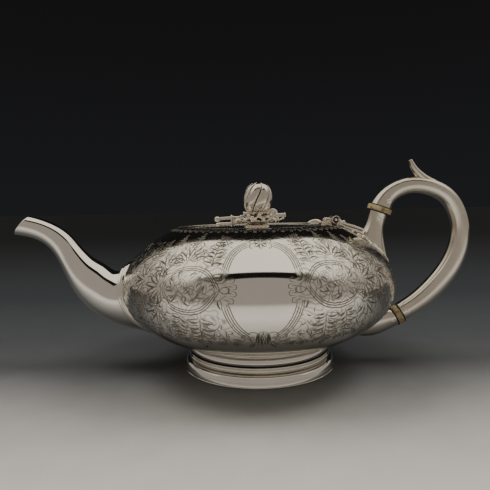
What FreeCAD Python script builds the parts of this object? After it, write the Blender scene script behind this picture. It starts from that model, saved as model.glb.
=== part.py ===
import FreeCAD, Part
import math
import os
from types import SimpleNamespace

import Sketcher

# A low round silver teapot on a moulded foot. The origin is the centre of the foot's underside,
# +Z is up, the handle is towards +X and the spout towards -X.
# Every length is in millimetres and every angle in degrees.

SIZES = {
    # The bowl: one outline of four tangent arcs, from the mouth down to the axis.
    "girth_radius": 81,
    "girth_height": 50.8,
    "girth_arc": 25,
    "shoulder_arc": 70,
    "belly_arc": 56,
    "base_arc": 140,
    "shoulder_turn": 42.5,
    "belly_turn": 47,
    "base_turn": 65.48,
    "wall": 0.7,
    "mouth_radius": 48,
    # The ledge inside the mouth, which the lid rests on.
    "ledge_top": 84.2,
    "ledge_outer": 49.2,
    "ledge_inner": 44,
    "ledge_skirt": 4.2,
    # The foot: a hollow moulded ring with a reeded wire above it and a flat wire below it.
    "foot_radius": 45.6,
    "foot_neck": 40.6,
    "foot_inner": 39,
    "foot_top": 15.4,
    "foot_wire_top": 3.2,
    "foot_wire_width": 3,
    "reed_radius": 41.3,
    "reed_height": 16.2,
    "reed_size": 0.9,
    # The strainer holes behind the spout.
    "strainer_hole": 1.5,
    "strainer_pitch": 6,
    "strainer_height": 45,
    # The spout, its wall and the moulding round its root.
    "spout_wall": 1,
    "collar_width": 2.4,
    "collar_lift": 1.2,
    "lip_top_x": -138.4,
    "lip_top_z": 94.1,
    "lip_lean": 228.8,
    # The handle, its two insulators, the sockets and the pins.
    "handle_wall": 1.1,
    "upper_ring_radius": 7.5,
    "upper_ring_depth": 3.5,
    "lower_ring_radius": 6.1,
    "lower_ring_depth": 4.1,
    "tenon_radius": 4,
    "tenon_length": 4.6,
    "pin_radius": 0.9,
    "socket_leaf_lift": 1.3,
    "socket_leaf_length": 34,
    "socket_leaf_width": 26,
    "thumb_width": 6,
    # The hinge.
    "hinge_x": 47.3,
    "hinge_z": 88.4,
    "knuckle_radius": 2.4,
    "knuckle_gap": 0.25,
    "hinge_width": 14,
    "lid_knuckle_width": 6.4,
    "hinge_pin_radius": 1,
    "hinge_pin_play": 0.05,
    "hinge_pin_recess": 0.4,
    # The lid.
    "lid_radius": 47.7,
    "lid_under": 84.4,
    "lid_edge_top": 85.2,
    "lid_crown": 83.8,
    "lid_wall": 0.7,
    "bezel_outer": 43.2,
    "bezel_wall": 0.9,
    "bezel_depth": 5,
    # The finial, a fruit on a leaf cluster, and its fixings.
    "pedestal_radius": 8,
    "pedestal_top": 86.8,
    "hub_low_radius": 4.4,
    "hub_high_radius": 3.2,
    "fruit_radius": 8.1,
    "fruit_base": 93.4,
    "fruit_top": 112.2,
    "fruit_tip": 0.5,
    "fruit_lobe_arc": 10.5,
    "stud_radius": 1.5,
    "stud_foot": 79.6,
    "washer_radius": 5,
    "washer_depth": 0.8,
    "nut_across": 5.5,
    "nut_depth": 2.2,
}

# Sections along a curved tube: centre x, centre z, lean from +Z towards +X, height across, width across.
SPOUT_SECTIONS = [
    (-50, 44.5, -90, 40, 30),
    (-64, 43.6, -89, 43.6, 34),
    (-79, 43, -87, 37.5, 32),
    (-87.5, 43.4, -84, 32, 28.6),
    (-98.5, 49.5, -74, 29.4, 25.4),
    (-106.9, 57.3, -62, 24, 21.4),
    (-111.9, 64.6, -52, 19.2, 18),
    (-115.9, 71.4, -44, 16, 15.6),
    (-119.7, 77, -43, 14.8, 14.6),
    (-124.4, 81.5, -52, 14, 13.8),
    (-131, 85.3, -68, 13.2, 13),
    (-139, 87.9, -78, 12.8, 12.6),
    (-150, 89.8, -80.5, 12.7, 12.5),
]
# The collar follows the first few sections of the spout.
COLLAR_SECTIONS = 4
HANDLE_SECTIONS = [
    (75.8, 95.4, 20.7, 13.2, 13.2),
    (78.1, 99.8, 33, 11.4, 11.4),
    (83.9, 105.1, 62, 10.3, 10.3),
    (93.1, 108.3, 84, 10, 10),
    (104.8, 107.2, 107, 10, 10),
    (115.9, 101.3, 135, 10.2, 10.2),
    (122.8, 89.8, 165, 10.4, 10.4),
    (124.2, 75, 185, 11.2, 11.2),
    (119.6, 60.6, 207, 12.2, 12.2),
    (108.6, 45.8, 224, 12.4, 12.4),
    (97.6, 36.1, 235, 11.9, 11.9),
    (88, 30.2, 242, 11.4, 11.4),
]
UPPER_SOCKET_SECTIONS = [
    (69.6, 66, 12, 25, 20),
    (69.9, 75.6, 12, 19.4, 16),
    (71.5, 82, 14, 13, 12),
    (73.2, 88, 18, 10.6, 10.4),
    (74.48, 92.26, 20.7, 11, 11),
]
LOWER_SOCKET_SECTIONS = [
    (84.3, 27.5, 242, 11, 11),
    (77.6, 25.4, 252, 13.6, 9.6),
    (67.5, 22, 262, 13.4, 7.6),
    (58.5, 21.2, 276, 8.6, 5.4),
    (50.5, 21.4, 286, 3.4, 2.6),
]
BUD_SECTIONS = [
    (31.6, 86.4, 90, 0.8, 0.8),
    (33.8, 86.5, 90, 3, 3),
    (36.4, 86.5, 90, 3.9, 3.9),
    (38.9, 86.4, 90, 3.4, 3.4),
]
# Each joint of the handle: ring centre x and z, and the lean of its axis.
UPPER_JOINT = (75.1, 93.9, 20.7)
LOWER_JOINT = (86.2, 28.5, 62)
# The four handle pins: centre x, centre z and half length.
PINS = [(79.4, 98.6, 5.9), (73.5, 88.4, 5.3), (82.2, 26.6, 5.3), (90.6, 31.6, 5.8)]
# The curled leaf on top of the handle: a side outline, from the tip round to the root and back.
THUMB_OUTLINE = [
    (93.4, 124.3), (95.6, 120.9), (99.8, 117.2), (106, 114.2), (112.4, 110.2),
    (110.2, 104.2), (98, 106.2), (90, 107.6), (93.6, 114.2), (92.6, 119.2),
]
# Both halves of the hinge, as side outlines measured from the pin's centre. In each, the first and last
# corners are the ends of the half round that wraps the pin.
HINGE_ARM_OUTLINE = [
    (0, 2.4), (4.8, -0.6), (11.9, -3.4), (15.8, -5), (19.8, -8),
    (16.6, -9.6), (11.9, -6.9), (4.6, -3.6), (0, -2.4),
]
LID_LEAF_OUTLINE = [(0, 2.4), (-2.4, 1.2), (-7.4, -0.6), (-8.2, -3.7), (-3.4, -3.6), (0, -2.4)]
# The socket's leaf mount: the middle of its oval edge and the lean of its axis, then how far the oval
# is drawn each way along that axis.
SOCKET_LEAF_PLACE = (70.6, 72.4, 38)
SOCKET_LEAF_REACH = (-20, 25)
# Petals of the finial's leaf cluster: bearing, reach, half width and rise of the tip.
FINIAL_LEAVES = [
    (35, 14.5, 5, 2.4), (100, 13.5, 5.4, 1.6), (155, 15, 5, 2),
    (215, 14.5, 5.2, 1.4), (270, 14, 5.6, 1.8), (325, 14.5, 5.2, 2.2),
]
LEAF_THICKNESS = 1.1
LEAF_ROOT_HALF = 1.6
# Cut stems of the cluster, each ending in a small knob: bearing, reach, height, radius and knob radius.
FINIAL_STEMS = [(176, 24.2, 89.8, 1.3, 1.8), (184, 23.6, 86.7, 1.1, 1.4), (-8, 16.6, 91.4, 1.1, 1.4)]


class Size:
    """A number together with the sheet expression that gives it."""

    def __init__(self, value, text):
        self.value = value
        self.text = text

    def __add__(self, other):
        other = as_size(other)
        return Size(self.value + other.value, f"({self.text} + {other.text})")

    def __sub__(self, other):
        other = as_size(other)
        return Size(self.value - other.value, f"({self.text} - {other.text})")

    def __mul__(self, other):
        other = as_size(other)
        return Size(self.value * other.value, f"({self.text} * {other.text})")

    def __truediv__(self, other):
        other = as_size(other)
        return Size(self.value / other.value, f"({self.text} / {other.text})")


def as_size(number):
    if isinstance(number, Size):
        return number
    return Size(float(number), f"({number})")


def sine(angle):
    return Size(math.sin(math.radians(angle.value)), f"sin({angle.text} * 1 deg)")


def cosine(angle):
    return Size(math.cos(math.radians(angle.value)), f"cos({angle.text} * 1 deg)")


def root(size):
    return Size(math.sqrt(size.value), f"sqrt({size.text})")


def write_sheet():
    """Fill the sheet: the named sizes, then the sections of each curved tube."""
    sheet = doc.addObject("Spreadsheet::Sheet", "Sizes")
    rows = dict(SIZES)
    for name, sections in (("spout", SPOUT_SECTIONS), ("handle", HANDLE_SECTIONS),
                           ("upper", UPPER_SOCKET_SECTIONS), ("lower", LOWER_SOCKET_SECTIONS),
                           ("bud", BUD_SECTIONS)):
        for number, section in enumerate(sections):
            for field, value in zip(("across", "above", "lean", "tall", "wide"), section):
                rows[f"{name}_{field}_{number}"] = value
    for row, (name, value) in enumerate(rows.items(), start=1):
        sheet.set(f"A{row}", name)
        sheet.set(f"B{row}", str(value))
        sheet.setAlias(f"B{row}", name)
    doc.recompute()
    return SimpleNamespace(**{name: Size(float(value), f"Sizes.{name}") for name, value in rows.items()})


def bind(thing, prop, size):
    thing.setExpression(prop, as_size(size).text)


def new_body(label):
    body = doc.addObject("PartDesign::Body", label)
    body.Label = label
    return body


def new_sketch(body, role):
    sketch = body.newObject("Sketcher::SketchObject", f"{body.Label}_sketch")
    plane = [item for item in body.Origin.OriginFeatures if item.Role == role][0]
    sketch.AttachmentSupport = [(plane, "")]
    sketch.MapMode = "FlatFace"
    return sketch


def place_point(sketch, edge, end, across, above):
    """Tie one point of a sketch to its distances from the origin."""
    for kind, size, axis in (("DistanceX", as_size(across), -2), ("DistanceY", as_size(above), -1)):
        if size.value == 0:
            sketch.addConstraint(Sketcher.Constraint("PointOnObject", edge, end, axis))
            continue
        number = sketch.addConstraint(Sketcher.Constraint(kind, -1, 1, edge, end, size.value))
        bind(sketch, f"Constraints[{number}]", size)


def arc_between(start, end, radius):
    """An arc that turns anticlockwise from start to end."""
    middle = (start + end) * 0.5
    half = (end - start).Length / 2
    inward = FreeCAD.Vector(start.y - end.y, end.x - start.x, 0).normalize()
    centre = middle + inward * math.sqrt(max(0, radius * radius - half * half))
    angles = [math.atan2(point.y - centre.y, point.x - centre.x) for point in (start, end)]
    circle = Part.Circle(centre, FreeCAD.Vector(0, 0, 1), radius)
    return Part.ArcOfCircle(circle, angles[0], angles[1])


def add_outline(sketch, corners, arcs=None):
    """A closed outline. arcs maps an edge's number to its radius: positive if it turns anticlockwise."""
    arcs = arcs or {}
    points = [FreeCAD.Vector(as_size(x).value, as_size(y).value, 0) for x, y in corners]
    count = len(points)
    ends = []
    for edge in range(count):
        start, end = points[edge], points[(edge + 1) % count]
        if edge not in arcs:
            sketch.addGeometry(Part.LineSegment(start, end))
            ends.append((1, 2))
        elif arcs[edge].value > 0:
            sketch.addGeometry(arc_between(start, end, arcs[edge].value))
            ends.append((1, 2))
        else:
            sketch.addGeometry(arc_between(end, start, -arcs[edge].value))
            ends.append((2, 1))
    for edge in range(count):
        after = (edge + 1) % count
        sketch.addConstraint(Sketcher.Constraint("Coincident", edge, ends[edge][1], after, ends[after][0]))
        place_point(sketch, edge, ends[edge][0], *corners[edge])
    for edge, radius in arcs.items():
        size = radius if radius.value > 0 else radius * -1
        if abs((points[(edge + 1) % count] - points[edge]).Length - 2 * size.value) < 1e-6:
            number = sketch.addConstraint(Sketcher.Constraint("DistanceX", -1, 1, edge, 3, points[edge].x))
            bind(sketch, f"Constraints[{number}]", corners[edge][0])
            continue
        number = sketch.addConstraint(Sketcher.Constraint("Radius", edge, size.value))
        bind(sketch, f"Constraints[{number}]", size)


def add_circle(sketch, across, above, radius):
    across, above, radius = as_size(across), as_size(above), as_size(radius)
    centre = FreeCAD.Vector(across.value, above.value, 0)
    edge = sketch.addGeometry(Part.Circle(centre, FreeCAD.Vector(0, 0, 1), radius.value))
    place_point(sketch, edge, 3, across, above)
    number = sketch.addConstraint(Sketcher.Constraint("Radius", edge, radius.value))
    bind(sketch, f"Constraints[{number}]", radius)


def turned(label, corners, arcs=None):
    """A body turned round the pot's own axis."""
    body = new_body(label)
    sketch = new_sketch(body, "XZ_Plane")
    add_outline(sketch, corners, arcs)
    turn = body.newObject("PartDesign::Revolution", f"{label}_turn")
    turn.Profile = sketch
    turn.ReferenceAxis = (sketch, ["V_Axis"])
    turn.Angle = 360
    body.Tip = turn
    return body


def pad_across(body, sketch, width):
    """Thicken a side-view sketch equally to both sides of the middle plane."""
    pad = body.newObject("PartDesign::Pad", f"{body.Label}_pad")
    pad.Profile = sketch
    pad.SideType = "Symmetric"
    bind(pad, "Length", width)
    body.Tip = pad


def cut_across(body, sketch, width):
    """Cut a side-view sketch out of a body, equally to both sides of the middle plane."""
    doc.recompute()
    before = body.Shape.Volume
    pocket = body.newObject("PartDesign::Pocket", f"{body.Label}_pocket")
    pocket.Profile = sketch
    pocket.SideType = "Symmetric"
    bind(pocket, "Length", width)
    body.Tip = pocket
    doc.recompute()
    if body.Shape.Volume >= before:
        raise RuntimeError(f"{body.Label}: the pocket cuts nothing")


def sections_of(name, count):
    """The sizes of one curved tube's sections, as the sheet holds them."""
    fields = ("across", "above", "lean", "tall", "wide")
    return [[getattr(d, f"{name}_{field}_{number}") for field in fields] for number in range(count)]


def lofted(label, sections, grow=0.0):
    """A smooth solid through upright ellipses, each grown or shrunk by the same amount on its radius."""
    rings = []
    sideways = FreeCAD.Vector(0, 1, 0)
    for number, (across, above, lean, tall, wide) in enumerate(sections):
        ring = doc.addObject("Part::Ellipse", f"{label}_ring_{number}")
        bind(ring, "MajorRadius", tall / 2 + grow)
        bind(ring, "MinorRadius", wide / 2 + grow)
        ring.Placement = FreeCAD.Placement(FreeCAD.Vector(), FreeCAD.Rotation(sideways, lean.value))
        bind(ring, "Placement.Base.x", across)
        bind(ring, "Placement.Base.z", above)
        bind(ring, "Placement.Rotation.Angle", lean)
        rings.append(ring)
    loft = doc.addObject("Part::Loft", label)
    loft.Sections = rings
    loft.Solid = True
    loft.Ruled = False
    return loft


def cut(label, base, tool):
    result = doc.addObject("Part::Cut", label)
    result.Label = label
    result.Base = base
    result.Tool = tool
    return result


def common(label, base, tool):
    result = doc.addObject("Part::Common", label)
    result.Label = label
    result.Base = base
    result.Tool = tool
    return result


def joined(label, shapes):
    result = doc.addObject("Part::MultiFuse", label)
    result.Label = label
    result.Shapes = shapes
    return result


def cylinder(name, radius, length, start, direction):
    """A round bar of the given length that runs from start along direction."""
    bar = doc.addObject("Part::Cylinder", name)
    bind(bar, "Radius", radius)
    bind(bar, "Height", length)
    bar.Placement = FreeCAD.Placement(start, FreeCAD.Rotation(FreeCAD.Vector(0, 0, 1), direction))
    return bar


def bowl_outline(offset):
    """The bowl's outline from the mouth to the axis, offset outwards: its corners and its arc radii."""
    girth = (d.girth_radius - d.girth_arc, d.girth_height)
    shoulder = (girth[0] + (d.girth_arc - d.shoulder_arc) * cosine(d.shoulder_turn),
                girth[1] + (d.girth_arc - d.shoulder_arc) * sine(d.shoulder_turn))
    belly = (girth[0] + (d.girth_arc - d.belly_arc) * cosine(d.belly_turn),
             girth[1] - (d.girth_arc - d.belly_arc) * sine(d.belly_turn))
    base_height = belly[1] - (d.belly_arc - d.base_arc) * sine(d.base_turn)
    radii = [size + offset for size in (d.shoulder_arc, d.girth_arc, d.belly_arc, d.base_arc)]
    reach = d.mouth_radius - shoulder[0]
    joint = (belly[0] + radii[2] * cosine(d.base_turn), belly[1] - radii[2] * sine(d.base_turn))
    corners = [
        (d.mouth_radius, shoulder[1] + root(radii[0] * radii[0] - reach * reach)),
        (girth[0] + radii[1] * cosine(d.shoulder_turn), girth[1] + radii[1] * sine(d.shoulder_turn)),
        (girth[0] + radii[1] * cosine(d.belly_turn), girth[1] - radii[1] * sine(d.belly_turn)),
        joint,
        (0, base_height - root((base_height - joint[1]) * (base_height - joint[1]) + joint[0] * joint[0])),
    ]
    radii[3] = base_height - corners[4][1]
    return corners, radii


def bowl_form(label, offset):
    """The solid form of the bowl, used to trim what is soldered to its outside."""
    corners, radii = bowl_outline(offset)
    outline = [(0, corners[0][1])] + corners
    return turned(label, outline, {number + 1: radius * -1 for number, radius in enumerate(radii)})


def make_body_shell():
    outside, outer_radii = bowl_outline(as_size(0))
    inside, inner_radii = bowl_outline(d.wall * -1)
    corners = outside + inside[::-1]
    arcs = {number: radius * -1 for number, radius in enumerate(outer_radii)}
    first = len(outside)
    arcs.update({first + number: radius for number, radius in enumerate(inner_radii[::-1])})
    shell = turned("body_shell", corners, arcs)
    holes = new_sketch(shell, "YZ_Plane")
    for ring in range(3):
        count = max(1, 6 * ring)
        for step in range(count):
            turn = math.radians(step * 360 / count)
            across = d.strainer_pitch * round(ring * math.cos(turn), 6)
            above = d.strainer_height + d.strainer_pitch * round(ring * math.sin(turn), 6)
            add_circle(holes, across, above, d.strainer_hole)
    doc.recompute()
    before = shell.Shape.Volume
    pocket = shell.newObject("PartDesign::Pocket", "strainer")
    pocket.Profile = holes
    bind(pocket, "Length", d.girth_radius)
    shell.Tip = pocket
    doc.recompute()
    if shell.Shape.Volume >= before or shell.Shape.CenterOfGravity.x <= 0:
        raise RuntimeError("body_shell: the strainer isn't on the spout's side")
    return shell


def make_mouth_bezel():
    skirt = d.ledge_inner + d.wall
    return turned("mouth_bezel", [
        (d.ledge_inner, d.ledge_top), (d.ledge_inner, d.ledge_top - d.ledge_skirt),
        (skirt, d.ledge_top - d.ledge_skirt), (skirt, d.ledge_top - d.wall),
        (d.ledge_outer, d.ledge_top - d.wall), (d.ledge_outer, d.ledge_top),
    ])


def make_foot_ring():
    """The foot's mouldings, from the neck under the bowl down to the flange."""
    neck, edge, top, low = d.foot_neck, d.foot_radius, d.foot_top, d.foot_wire_top
    corners = [
        (edge - 2.6, low), (edge - 0.1, low), (edge - 2.2, low + 3.4), (edge - 3.4, low + 4),
        (edge - 3.4, low + 4.8), (edge - 2.6, low + 5.2), (edge - 2.8, low + 7), (edge - 3.8, low + 7.4),
        (edge - 4, low + 8), (edge - 2.9, low + 8.6), (edge - 3.6, low + 11), (neck - 0.4, top),
        (d.foot_inner, top), (d.foot_inner + 1.3, low + 5.8),
    ]
    arcs = {1: as_size(4.4), 5: as_size(1), 9: as_size(1.5), 10: as_size(-4)}
    return turned("foot_ring_blank", corners, arcs)


def make_foot_wires():
    reed = turned("foot_reed_blank", [
        (d.reed_radius - d.reed_size * 1.6, d.reed_height - d.reed_size),
        (d.reed_radius, d.reed_height - d.reed_size), (d.reed_radius, d.reed_height + d.reed_size),
        (d.reed_radius - d.reed_size * 1.6, d.reed_height + d.reed_size),
    ], {1: d.reed_size})
    rim = turned("foot_rim_wire", [
        (d.foot_radius - d.foot_wire_width, 0), (d.foot_radius, 0),
        (d.foot_radius + 0.1, d.foot_wire_top), (d.foot_radius - d.foot_wire_width, d.foot_wire_top),
    ])
    return reed, rim


def make_spout(form):
    """The spout: a tapering tube, trimmed to the bowl at its root and cut aslant at its lip."""
    sections = sections_of("spout", len(SPOUT_SECTIONS))
    outer = lofted("spout_outer", sections)
    inner = lofted("spout_inner", sections, d.spout_wall * -1)
    tube = cut("spout_tube", cut("spout_hollow", outer, inner), form)
    end = doc.addObject("Part::Box", "lip_cutter")
    for side in ("Length", "Width", "Height"):
        bind(end, side, d.spout_tall_0)
    corner = FreeCAD.Vector(d.lip_top_x.value, -d.spout_tall_0.value / 2, d.lip_top_z.value)
    end.Placement = FreeCAD.Placement(corner, FreeCAD.Rotation(FreeCAD.Vector(0, 1, 0), d.lip_lean.value))
    return cut("spout", tube, end), outer


def make_spout_collar(form, raised, spout_outer):
    """The moulding round the spout's root: a band of a raised skin over the bowl."""
    sections = sections_of("spout", COLLAR_SECTIONS)
    sleeve = lofted("collar_sleeve", sections, d.collar_width)
    skin = cut("collar_skin", raised, form)
    return cut("spout_collar", common("collar_band", skin, sleeve), spout_outer)


def make_insulator(label, joint, radius, depth):
    """A disc with a tenon on each face, which keeps the handle cool."""
    centre = FreeCAD.Vector(joint[0], 0, joint[1])
    along = FreeCAD.Rotation(FreeCAD.Vector(0, 1, 0), joint[2]).multVec(FreeCAD.Vector(0, 0, 1))
    disc = cylinder(f"{label}_disc", radius, depth, centre - along * (depth.value / 2), along)
    start = centre - along * (depth.value / 2 + d.tenon_length.value)
    tenon = cylinder(f"{label}_tenon", d.tenon_radius, depth + d.tenon_length * 2, start, along)
    return joined(f"{label}_blank", [disc, tenon])


def make_pins():
    """The four pins that hold the tenons: round bars across the tubes."""
    bars = []
    sideways = FreeCAD.Vector(0, 1, 0)
    for number, (across, above, half) in enumerate(PINS):
        start = FreeCAD.Vector(across, -half, above)
        bars.append(cylinder(f"pin_bar_{number}", d.pin_radius, as_size(2 * half), start, sideways))
    return joined("handle_pins", bars)


def make_handle():
    sections = sections_of("handle", len(HANDLE_SECTIONS))
    outer = lofted("handle_outer", sections)
    inner = lofted("handle_inner", sections, d.handle_wall * -1)
    return cut("handle_tube", outer, inner), outer


def make_thumb_piece(handle_outer):
    body = new_body("thumb_blank")
    sketch = new_sketch(body, "XZ_Plane")
    add_outline(sketch, THUMB_OUTLINE)
    pad_across(body, sketch, d.thumb_width)
    return cut("thumb_piece", body, handle_outer)


def make_socket_leaf(form, raised, socket):
    """The leaf mount round the upper socket: a raised skin over the shoulder with an oval edge."""
    centre_x, centre_z, lean = SOCKET_LEAF_PLACE
    sections = []
    for reach in SOCKET_LEAF_REACH:
        across = centre_x + reach * math.sin(math.radians(lean))
        above = centre_z + reach * math.cos(math.radians(lean))
        place = [as_size(round(value, 3)) for value in (across, above, lean)]
        sections.append(place + [d.socket_leaf_length, d.socket_leaf_width])
    skin = common("leaf_skin", cut("leaf_layer", raised, form), lofted("leaf_sleeve", sections))
    return cut("upper_socket_leaf", skin, socket)


def make_hinge(form):
    """The pot's half of the hinge, with two knuckles, and the lid's half, with one between them."""
    x, z = d.hinge_x, d.hinge_z
    arm = new_body("hinge_arm_blank")
    sketch = new_sketch(arm, "XZ_Plane")
    last = len(HINGE_ARM_OUTLINE) - 1
    add_outline(sketch, [(x + across, z + above) for across, above in HINGE_ARM_OUTLINE],
                {last: d.knuckle_radius * -1})
    pad_across(arm, sketch, d.hinge_width)
    slot = new_sketch(arm, "XZ_Plane")
    add_circle(slot, x, z, d.knuckle_radius + d.knuckle_gap * 2)
    cut_across(arm, slot, d.lid_knuckle_width + d.knuckle_gap * 2)
    bore = new_sketch(arm, "XZ_Plane")
    add_circle(bore, x, z, d.hinge_pin_radius)
    cut_across(arm, bore, d.hinge_width * 2)

    plate = new_body("lid_hinge_leaf")
    sketch = new_sketch(plate, "XZ_Plane")
    last = len(LID_LEAF_OUTLINE) - 1
    add_outline(sketch, [(x + across, z + above) for across, above in LID_LEAF_OUTLINE],
                {last: d.knuckle_radius})
    pad_across(plate, sketch, d.lid_knuckle_width)
    bore = new_sketch(plate, "XZ_Plane")
    add_circle(bore, x, z, d.hinge_pin_radius + d.hinge_pin_play)
    cut_across(plate, bore, d.hinge_width)

    length = d.hinge_width - d.hinge_pin_recess * 2
    start = FreeCAD.Vector(x.value, -length.value / 2, z.value)
    pin = cylinder("hinge_pin", d.hinge_pin_radius, length, start, FreeCAD.Vector(0, 1, 0))
    return cut("hinge_arm_on_bowl", arm, form), plate, pin


def make_hinge_bud():
    """The small cast bud in front of the lid's hinge leaf."""
    return lofted("bud_blank", sections_of("bud", len(BUD_SECTIONS)))


def make_lid():
    """The lid's plate, which dips slightly towards its middle, and the bezel under it."""
    hub = d.pedestal_radius
    rest = d.bezel_outer - 3
    plate = turned("lid_blank", [
        (d.stud_radius, d.lid_crown), (d.stud_radius, d.lid_crown - d.lid_wall),
        (hub, d.lid_crown - d.lid_wall), (rest, d.lid_under), (d.lid_radius, d.lid_under),
        (d.lid_radius, d.lid_edge_top), (d.lid_radius - 1.4, d.lid_edge_top + 0.1),
        (d.lid_radius - 1.8, d.lid_edge_top - 0.15), (hub, d.lid_crown),
    ])
    bore = d.bezel_outer - d.bezel_wall
    foot = d.lid_under - d.bezel_depth
    bezel = turned("lid_bezel", [
        (d.bezel_outer, d.lid_under), (bore, d.lid_under), (bore, foot), (d.bezel_outer, foot),
    ])
    return plate, bezel


def make_finial():
    """The fruit, the small flower pedestal, and the stud, washer and nut that hold them to the lid."""
    middle = (d.fruit_base + d.fruit_top) / 2
    fruit = turned("finial_fruit", [
        (0, d.fruit_base), (d.fruit_radius * 0.55, d.fruit_base + 0.5), (d.fruit_radius, middle - 0.6),
        (d.fruit_radius * 0.62, d.fruit_top - 2.6), (d.fruit_tip, d.fruit_top), (0, d.fruit_top),
    ], {1: d.fruit_lobe_arc, 2: d.fruit_lobe_arc, 3: d.fruit_lobe_arc * 0.8})
    pedestal = turned("pedestal_blank", [
        (d.stud_radius, d.lid_crown), (d.pedestal_radius, d.lid_crown),
        (d.pedestal_radius * 0.7, d.pedestal_top), (d.stud_radius, d.pedestal_top),
    ])
    floor = d.lid_crown - d.lid_wall
    top = floor - d.washer_depth
    stud = turned("finial_stud", [
        (0, d.stud_foot), (d.stud_radius, d.stud_foot), (d.stud_radius, d.fruit_base), (0, d.fruit_base),
    ])
    washer = turned("finial_washer", [
        (d.stud_radius, floor), (d.washer_radius, floor), (d.washer_radius, top), (d.stud_radius, top),
    ])
    nut = new_body("finial_nut")
    sketch = new_sketch(nut, "XY_Plane")
    bind(sketch, "AttachmentOffset.Base.z", top - d.nut_depth)
    corner = d.nut_across / 2 / cosine(as_size(30))
    turns = [as_size(turn) for turn in (30, 90, 150, 210, 270, 330)]
    add_outline(sketch, [(corner * cosine(turn), corner * sine(turn)) for turn in turns])
    add_circle(sketch, 0, 0, d.stud_radius)
    pad = nut.newObject("PartDesign::Pad", "nut_pad")
    pad.Profile = sketch
    bind(pad, "Length", d.nut_depth)
    nut.Tip = pad
    return fruit, pedestal, stud, washer, nut


def half_leaf(inner, reach, half_width, side):
    """One edge of a leaf's plan outline, from its root to its tip, as two arcs."""
    start = FreeCAD.Vector(inner, side * LEAF_ROOT_HALF, 0)
    widest = FreeCAD.Vector(reach * 0.55, side * half_width, 0)
    tip = FreeCAD.Vector(reach, 0, 0)
    swell = FreeCAD.Vector(widest.x * 0.72, side * half_width * 0.9, 0)
    taper = (widest + tip) * 0.5 + FreeCAD.Vector(0.5, side * 0.8, 0)
    return [Part.Arc(start, swell, widest), Part.Arc(widest, taper, tip)]


def leaf_solid(bearing, reach, half_width, rise):
    """One pointed leaf that leaves the axis level and lifts towards its tip."""
    top = d.pedestal_top.value
    inner = d.stud_radius.value
    side = [FreeCAD.Vector(inner, 0, top), FreeCAD.Vector(reach * 0.6, 0, top + rise * 0.4),
            FreeCAD.Vector(reach, 0, top + rise + 1.6)]
    lift = FreeCAD.Vector(0, 0, LEAF_THICKNESS)
    lower = Part.BSplineCurve()
    lower.interpolate(side)
    upper = Part.BSplineCurve()
    upper.interpolate([point + lift for point in side])
    wire = Part.Wire([lower.toShape(), Part.makeLine(side[-1], side[-1] + lift),
                      upper.toShape().reversed(), Part.makeLine(side[0] + lift, side[0])])
    blade = Part.Face(wire).extrude(FreeCAD.Vector(0, 4 * half_width, 0))
    blade.translate(FreeCAD.Vector(0, -2 * half_width, 0))
    right = half_leaf(inner * 0.9, reach, half_width, -1)
    left = half_leaf(inner * 0.9, reach, half_width, 1)
    edges = [arc.toShape() for arc in right + left[::-1]]
    root_half = FreeCAD.Vector(0, LEAF_ROOT_HALF, 0)
    root_middle = FreeCAD.Vector(inner * 0.9, 0, 0)
    edges.append(Part.makeLine(root_middle + root_half, root_middle - root_half))
    column = Part.Face(Part.Wire(edges)).extrude(FreeCAD.Vector(0, 0, 2 * top))
    leaf = blade.common(column)
    leaf.rotate(FreeCAD.Vector(), FreeCAD.Vector(0, 0, 1), bearing)
    return leaf


def make_finial_leaves():
    """The ring of leaves under the fruit, one solid pierced for the stud."""
    feature = doc.addObject("Part::Feature", "finial_leaves")
    low, high = d.pedestal_top.value, d.fruit_base.value
    foot = FreeCAD.Vector(0, 0, low)
    hub = Part.makeCone(d.hub_low_radius.value, d.hub_high_radius.value, high - low, foot)
    solid = hub.fuse([leaf_solid(*leaf) for leaf in FINIAL_LEAVES])
    stud = Part.makeCylinder(d.stud_radius.value, 2 * high)
    span = d.mouth_radius.value
    above = Part.makeBox(2 * span, 2 * span, span, FreeCAD.Vector(-span, -span, high))
    feature.Shape = solid.cut([stud, above]).removeSplitter()
    return feature


def make_finial_stems(neighbours):
    """The cut stems that lie out from the cluster."""
    bars = []
    start = d.stud_radius.value * 2
    for number, (bearing, reach, above, radius, knob) in enumerate(FINIAL_STEMS):
        outward = FreeCAD.Rotation(FreeCAD.Vector(0, 0, 1), bearing).multVec(FreeCAD.Vector(1, 0, 0))
        foot = outward * start + FreeCAD.Vector(0, 0, above)
        bars.append(cylinder(f"stem_bar_{number}", as_size(radius), as_size(reach - start), foot, outward))
        ball = doc.addObject("Part::Sphere", f"stem_knob_{number}")
        ball.Radius = knob
        ball.Placement.Base = outward * reach + FreeCAD.Vector(0, 0, above)
        bars.append(ball)
    return cut("finial_stems", joined("stems_blank", bars), neighbours)


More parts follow.
